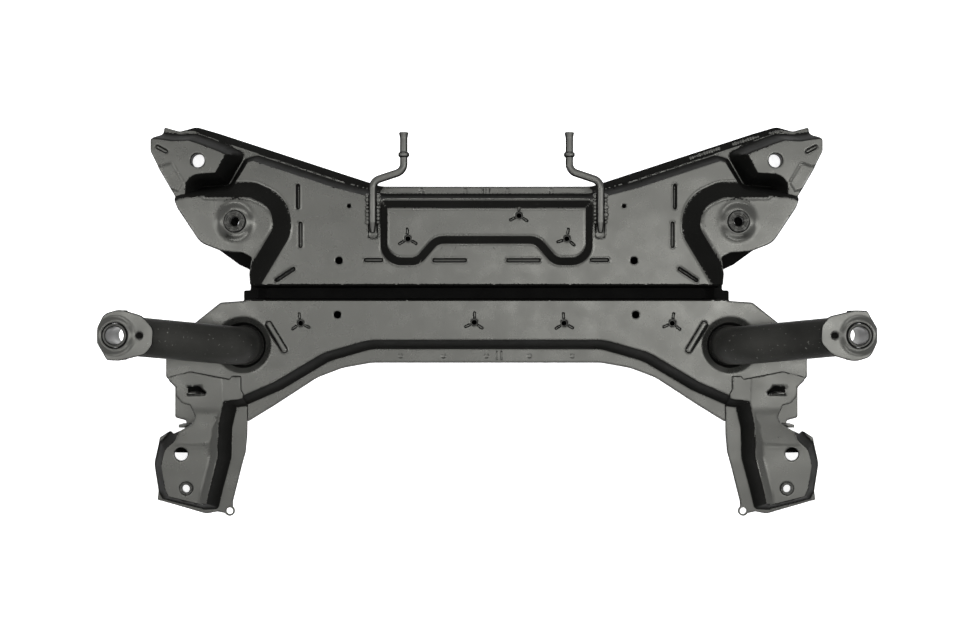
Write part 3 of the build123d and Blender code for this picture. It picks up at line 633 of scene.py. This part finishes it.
EAR_FIELD = about(REAR_MOUNT, [
    (-54, 13, 6), (-34, 23, 30), (-8, 33, 20), (10, 39, 20), (32, 38, 10), (120, 50, 0),
    (120, -80, 0), (3, -80, 0), (3, -31, 6), (-31, -28.5, 5),
])
MIDDLE_FIELD = [
    (140, REAR_EDGE - 20, 8), (140, REAR_EDGE - 108, 30), (86, REAR_EDGE - 108, 24), (62, REAR_EDGE - 80, 14),
]
ROD_X = 148.0
ROD_GROOVE = about((ROD_X, REAR_EDGE), [(7.25, 60, 0), (7.25, -71.8, 5), (-7.25, -71.8, 5), (-7.25, 60, 0)])
PAD_TOP = 80.0
MIDDLE_TOP = 67.0
EAR_TOP = 66.0
PLUG_RING = 58.9


def on_both(outline, *levels, **folds):
    """A step on the right side, and the same on the left."""
    return [Step(shape, *levels, **folds) for shape in (outline, mirrored(outline))]


rear_steps = [
    Step(both_sides(EDGE_FALL), 11.6, 22.3, 12.0, falling=True, blend=1.2),
    Step(both_sides(REAR_PLATEAU), UPPER_RIM, PAD_TOP, 14.0, fold=4.0, crease=8.8),
    Step(both_sides(REAR_LEVEL), PAD_TOP, BOX_TOP, 23.0, fold=3.8),
    Step(both_sides(MIDDLE_FIELD), BOX_TOP, MIDDLE_TOP, 13.6, fold=2.0),
]
rear_steps += on_both(EAR_FIELD, UPPER_RIM, EAR_TOP, 12.0)
rear_steps += on_both(ROD_GROOVE, BOX_TOP, 56.0, 2.0, fold=1.0)
for x, y in both(*BUSH):
    rear_steps.append(Step((x, y, 26.0), PAD_TOP, 86.0, 10.5, fold=4.5))
REAR_NUTS = [(-102, REAR_EDGE - 71.8), (42, REAR_EDGE - 41.8), (104, REAR_EDGE - 71.8)]
for place, turn in zip(REAR_NUTS, (94, 90, 82)):
    rear_steps += nut_marks(place, MIDDLE_TOP, turn)
for x in (28, 86):
    rear_steps += [spot_weld(place, UPPER_RIM) for place in both(x, REAR_EDGE - 5.5)]
# Plug welds over the ribs inside: a sunk core in a low ring.
PLUGS = [
    ((137, 80.6), (157, 80.6)), ((28, 80.2), (68, 80.2)), ((245, 177), (245, 149)), ((242, 128), (242, 99)),
    ((273, 54.5), (251, 69)),
]
for (ax, ay), (bx, by) in PLUGS:
    for sign in (-1, 1):
        ends = (sign * ax, ay), (sign * bx, by)
        rear_steps.append(Step(capsule(*ends, 9.8), BOX_TOP, PLUG_RING, 1.9, fold=0.9, blend=0.3))
        rear_steps.append(Step(capsule(*ends, 5.6), PLUG_RING, 54.6, 2.2, fold=0.4, blend=0.3))
# Each ear has a raised corner and a dent beside the bolt's seat.
EAR_CORNER = about(REAR_MOUNT, [
    (45.6, -6.1, 2), (32.1, -1.3, 5), (16.2, -28.3, 4), (24, -42, 0), (66, -30, 0), (66, -6, 0),
])
EAR_DENT = capsule((REAR_MOUNT[0] + 41, REAR_MOUNT[1] + 11.5),
                   (REAR_MOUNT[0] + 52, REAR_MOUNT[1] + 17.5), 7.0)
for outline, rise in ((EAR_CORNER, 1.6), (EAR_DENT, -2.4)):
    rear_steps += on_both(outline, EAR_TOP, EAR_TOP + rise, 3.0, fold=1.3, blend=0.4)
# Three witness bars in the middle of the rear flange.
for x in (-5, 0, 5):
    bar = capsule((x, REAR_EDGE - 9), (x, REAR_EDGE - 2.5), 2.6)
    rear_steps.append(Step(bar, UPPER_RIM, 21.6, 1.0, fold=0.5, blend=0.3))
rear_holes = [(x, y, 13.7) for x, y in both(*BUSH)] + [(x, y, 9.0) for x, y in both(*REAR_MOUNT)]
rear_holes += [(x, y, NUT_HOLE) for x, y in REAR_NUTS + both(192, REAR_EDGE - 99.8)]
rear_holes += [(x, y, 2.15) for x, y in both(179, REAR_EDGE - 28.8)]
rear = pressed_sheet("rear_upper_pressing", both_sides(REAR_TRIM), UPPER_RIM, rear_steps, rear_holes,
                     GrooveWall(GROOVE_REAR, 1, 306))
finish_piece(rear, panel_coat, "panel_coat", "rear_upper_panel", steep=0.86)

# Front arms. Each is a hat-shaped pressing whose sunk floor rises to a crest along its inner side. It
# laps over the front pressing at its rear end and carries a large hole, a weld nut and an eyelet.
ARM_TRIM = about(ARM_MOUNT, [
    (-18, 111, 4), (-69, 101, 2), (-72, 105, 2), (-84, 105, 2), (-84, 87, 2), (-87, 82, 2), (-86, 25, 20),
    (-84, 3, 20), (-79, -15, 20), (-67, -63, 10), (-67, -77, 3), (-60, -79, 3), (-47, -76, 4),
    (-32, -79, 10), (-8, -72, 10), (27, -62, 2), (33, -61, 2), (31.5, -48, 10), (37, -12, 30),
    (31, 15, 3), (30, 22, 3), (16, 31, 4), (9, 28, 3), (-5, 34, 5), (-20, 43, 6), (-24, 53, 3),
    (-18, 67, 3), (-8, 69, 5), (0, 78, 6), (1, 90, 4), (14, 103, 4),
])
ARM_SHELL = about(ARM_MOUNT, [
    (60, 170, 0), (-68, 170, 0), (-73, 70, 10), (-65, 36, 30), (-64, -4, 30), (-53, -45, 20),
    (-47, -71, 4), (-31, -72, 6), (25, -58, 5), (30, -48, 10), (36, -12, 30), (29, 15, 3),
    (14, 30, 4), (30, 60, 0), (70, 70, 0),
])
ARM_FLOOR = about(ARM_MOUNT, [
    (-50, 150, 0), (-56, 60, 40), (-56, -2, 40), (-44, -50, 30), (-39, -110, 0), (100, -110, 0),
    (100, 150, 0),
])
# The outer wall leans further in than the others.
ARM_OUTER = about(ARM_MOUNT, [
    (-200, 200, 0), (-200, -200, 0), (20, -200, 0), (25, -58, 5), (30, -48, 10), (36, -12, 30), (29, 15, 3),
    (14, 30, 4), (30, 60, 0), (70, 70, 0), (70, 200, 0),
])
ARM_HOLE = (ARM_MOUNT[0] - 4, ARM_MOUNT[1] + 2.5)
ARM_NUT = (ARM_MOUNT[0] - 10.5, ARM_MOUNT[1] - 42.5)
EYELET = (ARM_MOUNT[0] - 63, ARM_MOUNT[1] - 75)
arm_coat = black_coat("arm_coat", (0.011, 0.0112, 0.0102), 0.3, shine=0.62, dust=0.12)
cover = inset(both_sides(FRONT_PLATEAU), -2.1)
# The floor runs out under the root in a long ramp.
ARM_RAMP = about(ARM_MOUNT, [(-120, 12, 0), (120, 12, 0), (120, 200, 0), (-120, 200, 0)])
ARM_RIM, ARM_TOP, ARM_CREST = 23.2, 60.6, 62.6
ARM_LEVEL = 50.0
SIDES = (("left", -1), ("right", 1))


def turned(outline, sign):
    """An outline of the right side, or for a sign of -1 the one of the left."""
    return outline if sign > 0 else mirrored(outline)


def at_side(place, sign):
    """A place of the right side, or for a sign of -1 the one of the left."""
    return sign * place[0], place[1]


for side, sign in SIDES:
    arm_steps = [
        Step(turned(ARM_FLOOR, sign), ARM_TOP, ARM_LEVEL, 15.0, fold=3.0),
        Step(turned(ARM_RAMP, sign), ARM_LEVEL, 61.0, 48.0, fold=6.0, blend=1.0),
        Step(turned(ARM_SHELL, sign), ARM_RIM, ARM_CREST, 11.5, fold=3.0, falling=True, crease=11.8),
        Step(turned(ARM_OUTER, sign), ARM_RIM, ARM_CREST, 20.0, fold=3.0, falling=True, crease=13.6),
        Step(cover, ARM_RIM, 60.3, 9.0, blend=0.3),
    ]
    arm_holes = [(*at_side(ARM_HOLE, sign), 8.5), (*at_side(ARM_NUT, sign), 8.2),
                 (*at_side(EYELET, sign), NUT_HOLE), turned(ARM_SLOT, sign)]
    arm = pressed_sheet(f"front_arm_shell_{side}", turned(ARM_TRIM, sign), ARM_TOP, arm_steps, arm_holes,
                        pitch=5.0)
    finish_piece(arm, arm_coat, "arm_coat", f"front_arm_{side}", steep=0.79)

# Plates under the arms. Flat, welded to the arm's rim, and seen in its notch and through its hole.
ARM_PLATE = about(ARM_MOUNT, [
    (13, 112, 3), (-10, 112, 3), (-10, 102, 3), (-50, 82, 4), (-49, 45, 10), (-42, 0.5, 3), (14, 1.5, 2),
    (14, 18, 3), (-4, 26, 3), (-4, 44, 3), (11, 48, 3), (11, 88, 3), (16, 100, 4),
])
for side, sign in SIDES:
    plate = pressed_sheet(f"arm_plate_{side}", turned(ARM_PLATE, sign), 15.4, [], [], pitch=8.0)
    finish_piece(plate, arm_coat, "arm_coat", f"arm_lower_plate_{side}")
    # Painted shade: where the plate lies in the arm's shadow, under its hole and under its slot, it gets the
    # near-black wall coat.
    coat_where(plate, painted_shade_wall_coat, lambda face: face.center.y < -0.144 or (
        face.center.y > -0.099 and abs(face.center.x) < 0.403))

# Arm eyelets. The ear at each arm's inner front corner is punched and its rim is flattened to a ring.
SHARP_FOLD = radians(38)


def solid_piece(name, points, faces):
    """A closed piece from millimetre points, with its sharper folds kept sharp."""
    points = np.array(points, dtype=float)
    points[:, 1] += SHIFT_Y
    mesh = bpy.data.meshes.new(name)
    mesh.from_pydata((points / 1000).tolist(), [], faces)
    shape = bmesh.new()
    shape.from_mesh(mesh)
    bmesh.ops.remove_doubles(shape, verts=shape.verts, dist=1e-6)
    bmesh.ops.recalc_face_normals(shape, faces=shape.faces)
    shape.to_mesh(mesh)
    shape.free()
    mesh.shade_smooth()
    mesh.set_sharp_from_angle(angle=SHARP_FOLD)
    return placed(name, mesh)


def turned_ring(name, place, profile, segments=96, notches=0, notch_depth=0.0):
    """A ring turned round an upright axis from corners (radius, height, rounding), notched on top."""
    line = rounded_path(profile, 0.5)
    high = line[:, 1].max()
    points, faces, count = [], [], len(line)
    for j in range(segments):
        angle = 2 * pi * j / segments
        cut = notches and (j * notches / segments) % 1 < 0.35
        for radius, z in line:
            lowered = min(z, high - notch_depth) if cut else z
            points.append((place[0] + radius * cos(angle), place[1] + radius * sin(angle), lowered))
        for i in range(count):
            a, b, after = j * count, (j + 1) % segments * count, (i + 1) % count
            faces.append((a + i, a + after, b + after, b + i))
    return solid_piece(name, points, faces)


for side, sign in SIDES:
    ring = turned_ring(f"arm_eyelet_{side}", at_side(EYELET, sign),
                       [(4.3, 20.7, 0.4), (6.95, 20.7, 0.6), (6.95, 23.5, 1.0), (4.3, 23.5, 0.8)])
    finish_piece(ring, arm_coat, "arm_coat")

# Weld nuts. Each is a forged nut whose flange lies under the sheet and whose notched hub comes up
# through it. The large ones take the bolts of the control arms' rear bushes.
nut_coat = black_coat("weld_nut_coat", (0.012, 0.012, 0.0115), 0.38, shine=0.4)
for side, sign in SIDES:
    nut = turned_ring(f"bush_nut_forged_{side}", at_side(BUSH, sign), [
        (6.1, 78.4, 0.5), (16.5, 78.4, 1.0), (16.5, 83.3, 1.0), (13.5, 83.3, 0.4), (13.5, 88.2, 2.2),
        (10.6, 89.4, 0.6), (10.0, 87.6, 0.5), (8.8, 87.6, 0.5), (8.2, 89.2, 0.6), (6.1, 87.0, 0.6),
    ], segments=120, notches=6, notch_depth=1.2)
    finish_piece(nut, nut_coat, "weld_nut_coat", f"bush_nut_{side}")
    nut = turned_ring(f"arm_nut_forged_{side}", at_side(ARM_NUT, sign), [
        (5.1, 44.4, 0.5), (8.9, 44.4, 0.5), (8.9, 49.3, 0.4), (8.0, 49.3, 0.2), (8.0, 52.2, 0.8),
        (6.4, 52.2, 0.4), (5.1, 51.0, 0.3),
    ], notches=4, notch_depth=0.9)
    finish_piece(nut, nut_coat, "weld_nut_coat", f"arm_nut_{side}")

# Collars under the rear ears. Turned rings that carry the body bolts, welded below the sheet.
for side, sign in SIDES:
    collar = turned_ring(f"rear_collar_turned_{side}", at_side(REAR_MOUNT, sign),
                         [(9.0, 49.4, 0.8), (15.0, 49.4, 1.2), (15.0, 63.4, 0.6), (9.0, 63.4, 0.4)])
    finish_piece(collar, inner_coat, "inner_coat", f"rear_mount_collar_{side}")

# Raised tubes. Drawn steel tube of 48.6 x 2.9 mm, bent once, welded into the dish of the front
# pressing at its foot and mitred round the sleeve at its head.
TUBE_HEAD = (448.0, -16.0)
SLEEVE_TOP = 203.0
SLEEVE_ROOM = 14.7
TUBE_BORE = 21.4
TUBE_TILT = radians(22)


def swept_piece(name, centres, radii, across, segments=64, bore=None):
    """A round bar or tube along centres, whose turns all lie square to one direction."""
    ahead = np.gradient(centres, axis=0)
    ahead /= np.linalg.norm(ahead, axis=1)[:, None]
    across = np.array(across, dtype=float)
    upward = np.cross(ahead, across)
    turns = np.arange(segments) * 2 * pi / segments
    points, faces, count = [], [], len(centres)
    skins = [radii] if bore is None else [radii, np.full(count, float(bore))]
    for skin in skins:
        for k in range(count):
            for angle in turns:
                points.append(centres[k] + skin[k] * (cos(angle) * across + sin(angle) * upward[k]))
    for layer in range(len(skins)):
        base = layer * count * segments
        for k in range(count - 1):
            for j in range(segments):
                a, b = base + k * segments, base + (k + 1) * segments
                faces.append((a + j, a + (j + 1) % segments, b + (j + 1) % segments, b + j))
    for k in (0, count - 1):
        if bore is None:
            faces.append(tuple(k * segments + j for j in range(segments)))
        else:
            for j in range(segments):
                a, b = k * segments, (count + k) * segments
                faces.append((a + j, a + (j + 1) % segments, b + (j + 1) % segments, b + j))
    return solid_piece(name, points, faces)


tube_coat = black_coat("tube_coat", (0.02, 0.02, 0.0185), 0.5, shine=0.06, mottle=0.45, grain=0.3, dust=0.5)
tube_head_z = SLEEVE_TOP - 9.0 - TUBE_RADIUS / cos(TUBE_TILT)
reach = np.array([TUBE_HEAD[0] - TUBE_FOOT[0], TUBE_HEAD[1] - TUBE_FOOT[1]])
run = np.linalg.norm(reach)
elbow_z = tube_head_z - run * tan(TUBE_TILT)
tube_line = rounded_path([(0, SHEET, 0), (0, elbow_z, 46), (run, tube_head_z, 0)], 2.5, closed=False)
for side, sign in SIDES:
    course = reach / run * np.array([sign, 1])
    foot = np.array(at_side(TUBE_FOOT, sign))
    centres = np.array([(*(foot + course * u), z) for u, z in tube_line])
    tube = swept_piece(f"mount_tube_drawn_{side}", centres, np.full(len(centres), TUBE_RADIUS),
                       (-course[1], course[0], 0), bore=TUBE_BORE)
    cutter = turned_ring("sleeve_room", at_side(TUBE_HEAD, sign), [
        (0.01, 100, 0), (SLEEVE_ROOM, 100, 0), (SLEEVE_ROOM, 230, 0), (0.01, 230, 0),
    ], segments=48)
    mitre = tube.modifiers.new("mitre", "BOOLEAN")
    mitre.operation = "DIFFERENCE"
    mitre.object = cutter
    mesh = bpy.data.meshes.new_from_object(tube.evaluated_get(bpy.context.evaluated_depsgraph_get()))
    tube.modifiers.clear()
    tube.data = mesh
    bpy.data.objects.remove(cutter)
    finish_piece(tube, tube_coat, "tube_coat", f"mount_tube_{side}")

# Sleeves. Thick upright tubes for the front body bolts, chamfered at both ends.
SLEEVE_LENGTH = 70
low = SLEEVE_TOP - SLEEVE_LENGTH
for side, sign in SIDES:
    sleeve = turned_ring(f"sleeve_turned_{side}", at_side(TUBE_HEAD, sign), [
        (11.0, low + 1, 0.5), (12.0, low, 0.4), (14.5, low, 0.8), (14.5, SLEEVE_TOP, 1.2),
        (12.4, SLEEVE_TOP, 0.5), (11.0, SLEEVE_TOP - 1.6, 0.6),
    ])
    finish_piece(sleeve, nut_coat, "weld_nut_coat", f"tube_end_sleeve_{side}")

# Caps over the tubes' heads. Drawn from 3 mm sheet with a rounded shoulder, a swollen rim round the
# sleeve and one small hole. Both sides take the same part, turned half round.
CAP = [
    (-22, 9, 12), (-22, -9, 6), (-10, -30, 4), (5, -30.5, 20), (36, -23, 12), (45, -12, 12),
    (46, 9, 12), (32, 24, 20), (5, 32, 26), (-14, 26, 14),
]
CAP_TOP = 199.0
cap_coat = black_coat("cap_coat", (0.014, 0.0142, 0.0132), 0.3, shine=0.62, dust=0.12)
for side, sign in SIDES:
    head = at_side(TUBE_HEAD, sign)

    def mouth(points):
        """The skirt's foot: low all round, and a short lip over the tube where it comes in."""
        return np.where((points[:, 0] - head[0]) * sign < -4, 195.5, 148.0)

    outline = about(head, [(-sign * dx, -sign * dy, radius) for dx, dy, radius in CAP])
    cap_steps = [
        Step((*head, 23.5), CAP_TOP, 202.8, 5.5, fold=2.7, blend=0.4),
        Step((*head, 17.6), 202.8, 201.0, 2.6, fold=1.3, blend=0.4),
    ]
    cap_holes = [(*head, SLEEVE_ROOM), (head[0] - sign * 29, head[1], 4.0)]
    cap = pressed_sheet(f"tube_cap_{side}", outline, CAP_TOP, cap_steps, cap_holes, pitch=4.0, thickness=3.0,
                        skirt=(1.6, mouth))
    finish_piece(cap, cap_coat, "tube_coat", f"tube_end_bracket_{side}", steep=0.7)

# Hanger rods. Drawn bar of 10 mm, bent twice, with a point, an upset collar and a flared head. Each
# lies in its own groove across the rear edge and is welded along both sides.
ROD_END_X = 107.5
ROD_RADIUS = 5.0
ROD_HEIGHT = 61.0
rod_coat = black_coat("rod_coat", (0.012, 0.012, 0.0115), 0.3, shine=0.7)
for side, sign in SIDES:
    line = rounded_path([
        (sign * ROD_X, REAR_EDGE - 64, 0), (sign * ROD_X, REAR_EDGE + 3, 13),
        (sign * ROD_END_X, REAR_EDGE + 16.5, 13), (sign * ROD_END_X, REAR_EDGE + 66.5, 0),
    ], 0.8, closed=False)
    along = np.concatenate([[0], np.cumsum(np.linalg.norm(np.diff(line, axis=0), axis=1))])
    left = along[-1] - along
    # A point 14 mm long, a head flared over 7 mm, a collar 29 mm before the head's end, round edges.
    radii = ROD_RADIUS - 2.5 * np.clip(1 - along / 14, 0, 1) + 1.5 * np.clip(1 - left / 7, 0, 1)
    radii += 2.25 * np.clip(1 - (np.abs(left - 29) / 3.3) ** 4, 0, 1)
    for distance, edge in ((along, 1.6), (left, 1.0)):
        radii -= (1 - np.sqrt(np.clip(1 - np.clip(1 - distance / edge, 0, 1) ** 2, 0, 1))) * edge
    centres = np.column_stack([line, np.full(len(line), ROD_HEIGHT)])
    rod = swept_piece(f"hanger_rod_bent_{side}", centres, radii, (0, 0, 1), segments=40)
    finish_piece(rod, rod_coat, "rod_coat", f"hanger_rod_{side}", steep=0.7)

# Weld seams. Overlapping drops of metal along the rods, round the tubes' feet and over the laps.


def bead_tree():
    """Drops along each line of the mesh, scattered in size and turned along the seam."""
    tree = bpy.data.node_groups.new("weld_beads", "GeometryNodeTree")
    sockets = (("Geometry", "Geometry"), ("Pitch", "Float"), ("Size", "Float"), ("Seed", "Int"),
               ("Coat", "Material"))
    for label, kind in sockets:
        tree.interface.new_socket(label, in_out="INPUT", socket_type="NodeSocket" + kind)
    tree.interface.new_socket("Geometry", in_out="OUTPUT", socket_type="NodeSocketGeometry")
    node = {key: tree.nodes.new(kind) for key, kind in {
        "start": "NodeGroupInput", "end": "NodeGroupOutput", "line": "GeometryNodeMeshToCurve",
        "even": "GeometryNodeResampleCurve", "drop": "GeometryNodeMeshUVSphere",
        "tangent": "GeometryNodeInputTangent", "turn": "FunctionNodeAlignRotationToVector",
        "random": "FunctionNodeRandomValue",
        "size": "ShaderNodeVectorMath", "place": "GeometryNodeInstanceOnPoints",
        "real": "GeometryNodeRealizeInstances", "smooth": "GeometryNodeSetShadeSmooth",
        "paint": "GeometryNodeSetMaterial",
    }.items()}
    node["even"].mode = "LENGTH"
    node["turn"].axis = "X"
    node["random"].data_type = "FLOAT_VECTOR"
    node["size"].operation = "SCALE"
    for key, entry, value in (
        ("drop", "Segments", 12), ("drop", "Rings", 8), ("drop", "Radius", 1.0),
        ("random", "Min", (0.5, 0.6, 0.4)), ("random", "Max", (1.1, 1.15, 0.8)),
    ):
        node[key].inputs[entry].default_value = value
    wires = [
        ("start", "Geometry", "line", "Mesh"), ("line", "Curve", "even", "Curve"),
        ("start", "Pitch", "even", "Length"), ("even", "Curve", "place", "Points"),
        ("drop", "Mesh", "place", "Instance"), ("tangent", "Tangent", "turn", "Vector"),
        ("turn", "Rotation", "place", "Rotation"), ("start", "Seed", "random", "Seed"),
        ("random", "Value", "size", "Vector"), ("start", "Size", "size", "Scale"),
        ("size", "Vector", "place", "Scale"), ("place", "Instances", "real", "Geometry"),
        ("real", "Geometry", "smooth", "Geometry"), ("smooth", "Geometry", "paint", "Geometry"),
        ("start", "Coat", "paint", "Material"), ("paint", "Geometry", "end", "Geometry"),
    ]
    for source, output, target, entry in wires:
        tree.links.new(node[source].outputs[output], node[target].inputs[entry])
    return tree


BEADS = bead_tree()


def weld_seam(name, lines, size, pitch, coat, slot, seed):
    """A seam of overlapping drops along lines of millimetre points."""
    points, edges = [], []
    for line in lines:
        edges += [(len(points) + k, len(points) + k + 1) for k in range(len(line) - 1)]
        points += [(x / 1000, (y + SHIFT_Y) / 1000, z / 1000) for x, y, z in line]
    mesh = bpy.data.meshes.new(name)
    mesh.from_pydata(points, edges, [])
    seam = placed(name, mesh)
    nodes = seam.modifiers.new("beads", "NODES")
    nodes.node_group = BEADS
    values = {"Pitch": pitch / 1000, "Size": size / 1000, "Seed": seed, "Coat": coat}
    for entry in BEADS.interface.items_tree:
        if entry.in_out == "INPUT" and entry.name in values:
            nodes[entry.identifier] = values[entry.name]
    mesh = bpy.data.meshes.new_from_object(seam.evaluated_get(bpy.context.evaluated_depsgraph_get()))
    seam.modifiers.clear()
    seam.data = mesh
    finish_piece(seam, coat, slot)


def circle_line(place, radius, z):
    """Points five degrees apart all round a place."""
    return [(place[0] + radius * cos(radians(a)), place[1] + radius * sin(radians(a)), z)
            for a in range(0, 361, 5)]


rod_lines = [[(x, REAR_EDGE - 16, 58.6), (x, REAR_EDGE - 50, 58.6)]
             for x in (ROD_X - 6.8, ROD_X + 6.8, -ROD_X + 6.8, -ROD_X - 6.8)]
weld_seam("rod_welds", rod_lines, 4.2, 4.4, panel_coat, "panel_coat", seed=3)
foot_lines = [circle_line(place, 25.6, 46.8) for place in (at_side(TUBE_FOOT, -1), TUBE_FOOT)]
weld_seam("tube_foot_welds", foot_lines, 3.4, 2.2, tube_coat, "tube_coat", seed=4)
stitches = [[(271, 217, 17.2), (309, 229.5, 17.2)], [(328, 235.5, 17.2), (361, 245.5, 17.6)],
            [(377, 250, 18.6), (391, 252.6, 20.2)]]
weld_seam("edge_stitches", stitches, 2.6, 3.2, panel_coat, "panel_coat", seed=5)

# Hidden and half hidden pieces: ribs and small weld nuts inside the boxes, and the bush brackets
# under the arms. They are plain shapes and keep their CAD form.
for name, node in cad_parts.items():
    node.data.materials.clear()
    node.data.materials.append(nut_coat if "nut" in name else arm_coat if "arm_" in name else inner_coat)

# Photographer's white sweep, softboxes and camera. The camera looks straight down from two metres.
floor_mesh = bpy.data.meshes.new("floor")
floor_mesh.from_pydata([(-6, -6, 0), (6, -6, 0), (6, 6, 0), (-6, 6, 0)], [], [(0, 1, 2, 3)])
floor = placed("floor", floor_mesh)
paper = bpy.data.materials.new("floor_paper")
paper.use_nodes = True
nodes, links = paper.node_tree.nodes, paper.node_tree.links
skin = nodes["Principled BSDF"]
skin.inputs["Roughness"].default_value = 0.9
skin.inputs["Specular IOR Level"].default_value = 0.1
skin.inputs["Emission Color"].default_value = (1, 1, 1, 1)


def background_rays(nodes, links):
    """1 for the rays that show the background: camera, glossy and transmission rays."""
    rays = nodes.new("ShaderNodeLightPath")
    total = rays.outputs["Is Camera Ray"]
    for kind in ("Is Glossy Ray", "Is Transmission Ray"):
        most = nodes.new("ShaderNodeMath")
        most.operation = "MAXIMUM"
        links.new(total, most.inputs[0])
        links.new(rays.outputs[kind], most.inputs[1])
        total = most.outputs[0]
    return total


showing = background_rays(nodes, links)
seen = shader(nodes, "MixRGB", {1: (0.02, 0.02, 0.02, 1), 2: (0.9, 0.9, 0.9, 1)})
links.new(showing, seen.inputs[0])
links.new(seen.outputs[0], skin.inputs["Base Color"])
lift = nodes.new("ShaderNodeMath")
lift.operation = "MULTIPLY"
lift.inputs[1].default_value = 0.86
links.new(showing, lift.inputs[0])
links.new(lift.outputs[0], skin.inputs["Emission Strength"])
floor_mesh.materials.append(paper)

world = bpy.data.worlds.new("studio")
bpy.context.scene.world = world
world.use_nodes = True
nodes, links = world.node_tree.nodes, world.node_tree.links
sky = nodes["Background"]
level = shader(nodes, "MapRange", {"To Min": 0.01, "To Max": 1.0})
links.new(background_rays(nodes, links), level.inputs["Value"])
links.new(level.outputs["Result"], sky.inputs["Strength"])
sky.inputs["Color"].default_value = (1, 1, 1, 1)


def softbox(name, place, aim, width, depth, watts):
    """A rectangular soft lamp aimed at a point."""
    lamp = bpy.data.lights.new(name, "AREA")
    lamp.shape = "RECTANGLE"
    lamp.size, lamp.size_y = width, depth
    lamp.energy = watts
    holder = placed(name, lamp)
    holder.location = place
    holder.rotation_euler = (Vector(aim) - Vector(place)).to_track_quat("-Z", "Y").to_euler()


softbox("top_softbox", (0.0, 0.0, 2.35), (0, 0, 0), 2.3, 1.4, 13)
softbox("top_right_softbox", (0.85, 0.0, 2.3), (0.85, 0, 0), 1.3, 1.4, 5)
softbox("middle_strip", (0.3, 0.08, 2.28), (0.3, 0.08, 0), 1.1, 0.22, 4)
softbox("right_strip", (1.75, 0.1, 2.0), (0, 0, 0), 0.3, 2.4, 27)
softbox("left_strip", (-1.7, 0.1, 2.0), (0, 0, 0), 0.3, 2.4, 20)
softbox("rear_strip", (0.0, 1.6, 2.0), (0, 0, 0), 2.4, 0.3, 24)
softbox("front_strip", (0.0, -1.6, 2.0), (0, 0, 0), 2.4, 0.3, 20)

camera = bpy.data.cameras.new("camera")
camera.lens = 54.7
camera.sensor_width = 36.0
holder = placed("camera", camera)
holder.location = (-0.0085, 0.0024, 1.955)
bpy.context.scene.camera = holder
bpy.context.scene.view_settings.view_transform = "Standard"
